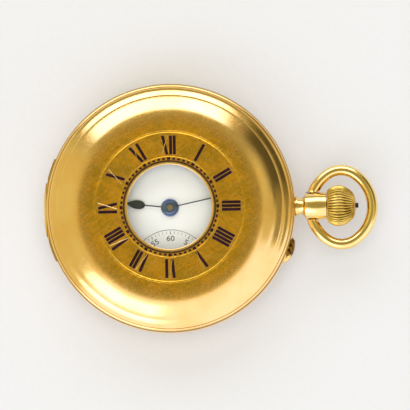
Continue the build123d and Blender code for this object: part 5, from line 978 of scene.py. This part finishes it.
dial_white = fired_enamel("dial_white", (0.92, 0.885, 0.845, 1), (0.89, 0.85, 0.80, 1), 0.10)
print_black = fired_enamel("print_black", (0.012, 0.011, 0.013, 1), (0.035, 0.030, 0.030, 1), 0.25)
print_grey = fired_enamel("print_grey", (0.15, 0.145, 0.14, 1), (0.24, 0.23, 0.22, 1), 0.25)
finish_nodes(dial_white, "dial")
dial_rows = tick_rows(DIAL_TICK, DIAL_TICK_LONG)
for hours, inner, outer in DIAL_FIGURES:
    heavy, fine = figure_rows(inner, outer, DIAL_LETTER_WIDTHS["I"], DIAL_SPACING, DIAL_LETTER_WIDTHS, hours)
    dial_rows += heavy + fine
seconds_marks = printed_rows(tick_rows(SECONDS_TICK, SECONDS_TICK_LONG), SECONDS_LEVEL)
for name, points, closed, ink in (
        ("dial_print", printed_rows(dial_rows, DIAL_LEVEL), False, print_black),
        ("dial_circles", np.stack([printed_circle(radius, DIAL_LEVEL) for radius in DIAL_CIRCLES]), True,
         print_black),
        ("seconds_print", seconds_marks + np.array((*SECONDS_CENTRE, 0.0)), False, print_grey),
        ("seconds_circle", printed_circle(SECONDS_CIRCLE, SECONDS_LEVEL, SECONDS_CENTRE), True, print_grey)):
    skin(name, points, closed, ink, "case")
add_piece("seconds_figures", seconds_numbers(), print_grey, "case")

# Hands
# Blued steel. The hour hand is filed with a pear and then a spade, crowned on top; the minute and seconds
# hands are thin arms. The bosses are a brighter blue, and the end of the centre arbor shows in the middle.

# Each hand: the hour it points at, its lower and upper level, and the radius where it starts
HOUR_HAND = (276.5 / 30, 9.88, 10.02, 1.4)
MINUTE_HAND = (78.0 / 30, 10.26, 10.40, 1.0)
HOUR_BOSS = ((0.96, 9.88), (0.96, 10.00), (1.02, 10.02), (1.55, 10.02), (1.74, 9.99), (1.80, 9.94),
             (1.80, 9.88))
MINUTE_BOSS = ((0.64, 10.26), (0.64, 10.38), (0.70, 10.40), (1.08, 10.40), (1.24, 10.37), (1.30, 10.32),
               (1.30, 10.26))
HAND_ARM_HALF = 0.115
HAND_TIP = 0.02
HOUR_LEAVES = ((5.0, 6.45, 8.7, 0.90), (10.2, 11.2, 13.3, 0.92))
MINUTE_LEAVES = ((13.6, 14.6, 18.4, 0.58),)
HAND_EASE = 0.04
HAND_BEVEL = 0.03
HAND_CROWNING = 0.005
HAND_ROWS = 260
BOSS_STEPS = 96


def leaf(along, near, middle, far, half):
    """Half a leaf's width: an ellipse from its near end to the middle, and then a cosine down to its tip."""
    round_end = np.sqrt(np.clip(1 - ((middle - along) / (middle - near)) ** 2, 0, 1))
    tip = np.cos(np.pi / 2 * np.clip((along - middle) / (far - middle), 0, 1)) ** 0.85
    inside = (along > near) & (along < far)
    return np.where(inside, half * np.where(along < middle, round_end, tip), 0)


def hand_points(hand, leaves):
    """A strip along the hand whose section is flat below, with eased edges and a slightly crowned top."""
    hour, low, high, start = hand
    along = np.linspace(start, leaves[-1][2] - HAND_TIP, HAND_ROWS)
    half = HAND_ARM_HALF * (along < leaves[-1][1])
    for near, middle, far, width in leaves:
        half = np.maximum(half, leaf(along, near, middle, far, width))
    half = np.maximum(half, HAND_TIP)[:, None]
    edge = np.maximum(half - HAND_EASE, half * 0.5)
    zero = np.zeros_like(half)
    crown = high - HAND_BEVEL + HAND_BEVEL * np.clip(half / leaves[0][3], 0, 1)
    across = np.concatenate([-half, -half, -edge, -edge / 2, zero, edge / 2, edge, half, half], 1)
    rise = [zero + low, zero + high - 2 * HAND_BEVEL, zero + high - HAND_BEVEL, crown - HAND_CROWNING]
    level = np.concatenate(rise + [crown] + rise[::-1], 1)
    flat = on_clock(across, along[:, None], hour)
    return capped(np.concatenate([flat, level[..., None]], -1))


def blued(name, deep, light, roughness, turn):
    """Steel blued by heat: a thin coloured skin over fine straight polishing marks, patchy in tone."""
    finish = Finish(name)
    tone = finish.drift(500.0, deep, light)
    marks = finish.streaks(turn, 4.0, 0.05)
    return finish.surface(Base_Color=tone, Metallic=1.0, Roughness=roughness + 0.10 * marks, Coat_Weight=0.4,
                          Coat_Roughness=0.05, Normal=finish.bump(marks, 0.0000015, 0.5))


slate_blue = blued("slate_blue", (0.055, 0.070, 0.110, 1), (0.085, 0.105, 0.155, 1), 0.24, 12)
bright_blue = blued("bright_blue", (0.110, 0.165, 0.350, 1), (0.220, 0.300, 0.560, 1), 0.24, 40)
hairspring_blue = blued("hairspring_blue", (0.030, 0.060, 0.220, 1), (0.045, 0.085, 0.300, 1), 0.20, 0)
for name, node, body, hand, leaves, boss in (
        ("hour_hand_leaves", "hour_hand", "hour_gear", HOUR_HAND, HOUR_LEAVES, HOUR_BOSS),
        ("minute_hand_leaf", "minute_hand", "centre_arbor", MINUTE_HAND, MINUTE_LEAVES, MINUTE_BOSS)):
    skin(name, hand_points(hand, leaves), False, slate_blue, body, [node], FINE_SHARP)
    skin(node + "_boss", spun(boss, BOSS_STEPS), True, bright_blue, body)
finish_nodes(slate_blue, "seconds_hand")
finish_nodes(hairspring_blue, "hairspring")

# Plates and bridges
# Brass, gilt over a frosted surface that was stoned before gilding, with a soft warm bloom and small rubs.
# The screws are steel, and the jewels are red stones polished in their settings.

GILT_WARM = (0.83, 0.57, 0.24, 1)
GILT_RUBBED = (0.74, 0.47, 0.17, 1)
RUB_EDGES = (0.45, 0.72)


def frosted(name, warm, rubbed, roughness):
    """Frosting is a fine, even grain; cloudy rubs lower the grain and deepen the tone."""
    finish = Finish(name)
    grain = finish.noise(9000.0, CLOUD_DETAIL)
    rubs = finish.noise(260.0, 4.0).step(*RUB_EDGES)
    tone = finish.mix(rubs, warm, rubbed)
    return finish.surface(Base_Color=tone, Metallic=1.0, Roughness=roughness + 0.08 * grain - 0.10 * rubs,
                          Normal=finish.bump(grain * (1 - 0.6 * rubs), 0.000012, 0.6))


def polished_stone(name, deep, light):
    """A clear stone with a glassy polish."""
    finish = Finish(name)
    tone = finish.drift(1600.0, deep, light, CLOUD_EDGES_FIRM)
    return finish.surface(Base_Color=tone, Roughness=0.05 + 0.05 * finish.noise(2500.0), Coat_Weight=0.6,
                          Coat_Roughness=0.03, Normal=finish.bump(finish.noise(3000.0), 0.000001, 0.3))


frosted_gilt = frosted("frosted_gilt", GILT_WARM, GILT_RUBBED, 0.36)
ruby_red = polished_stone("ruby_red", (0.30, 0.004, 0.020, 1), (0.62, 0.020, 0.060, 1))
screw_steel = grained("screw_steel", (0.56, 0.57, 0.60, 1), (0.47, 0.48, 0.52, 1), 0.12, 25)
finish_nodes(frosted_gilt, "main_plate", "barrel_bridge", "train_bridge", "balance_cock", "pallet_cock")
finish_nodes(ruby_red, "jewels", "roller", "pallet_stones")
finish_nodes(screw_steel, "bridge_screws", "case_screws", "ratchet_screw")

# Wheels
# Brass wheels, grained in circles about their arbors on a turning lathe stone, and the polished steel of the
# arbors, pinions and escape wheel.

RING_PITCH = 0.09
SWIRL_RAYS = 9.0
BRASS = (0.80, 0.57, 0.24, 1)
BRASS_SHADE = (0.70, 0.47, 0.17, 1)
STEEL = (0.56, 0.57, 0.60, 1)
STEEL_SHADE = (0.45, 0.46, 0.50, 1)


def turned_metal(node, base, shade, roughness, swirl=0.0):
    """Rings about the middle of a node: noise read along the distance from its axis. A swirl turns the grain
    with the distance, which makes the snailed rays of a winding wheel."""
    low, high = (Vector(corner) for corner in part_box(node))
    middle = (low + high) / 2
    finish = Finish(node + "_turned")
    x, y, z = finish.parts(finish.place())
    x, y = x - middle.x, y - middle.y
    away = (x * x + y * y) ** 0.5
    if swirl:
        turn = y.math("ARCTAN2", x) + away * (swirl / MM)
        place = {0: turn.math("COSINE") * SWIRL_RAYS, 1: turn.math("SINE") * SWIRL_RAYS, 2: z * (0.2 / MM)}
    else:
        place = {0: away * (1.0 / (RING_PITCH * MM)), 1: z * (4.0 / MM), 2: 0.0}
    grain = finish.noise(1.0, vector=finish.node("ShaderNodeCombineXYZ", values=place))
    tone = finish.drift(300.0, base, shade)
    finish.surface(Base_Color=tone, Metallic=1.0, Roughness=roughness + 0.12 * grain,
                   Normal=finish.bump(grain, 0.000004, 0.6))
    finish_nodes(finish.material, node)


for wheel in ("centre_wheel", "third_wheel", "fourth_wheel", "barrel", "barrel_cover", "minute_wheel",
              "hour_wheel", "balance_wheel"):
    turned_metal(wheel, BRASS, BRASS_SHADE, 0.20)
finish_nodes(grained("screw_brass", BRASS, BRASS_SHADE, 0.18, 60), "balance_screws")
for wheel in ("escape_wheel", "barrel_arbor", "cannon_pinion", "setting_wheel", "balance_staff"):
    turned_metal(wheel, STEEL, STEEL_SHADE, 0.16)

# Winding and setting work
# Hardened steel, with the two winding wheels under the back cover snailed and the levers and springs drawn
# over a stone in one direction. The mainspring is a darker blue-grey.

for wheel in ("ratchet_wheel", "crown_wheel"):
    turned_metal(wheel, STEEL, STEEL_SHADE, 0.20, 0.55)
drawn_steel = grained("drawn_steel", STEEL, STEEL_SHADE, 0.16, 70)
finish_nodes(drawn_steel, "winding_pinion", "clutch", "clutch_yoke", "click", "click_spring", "setting_lever",
             "pallet_fork", "regulator")
finish_nodes(grained("coiled_steel", (0.20, 0.21, 0.25, 1), (0.14, 0.15, 0.19, 1), 0.20, 0), "mainspring")
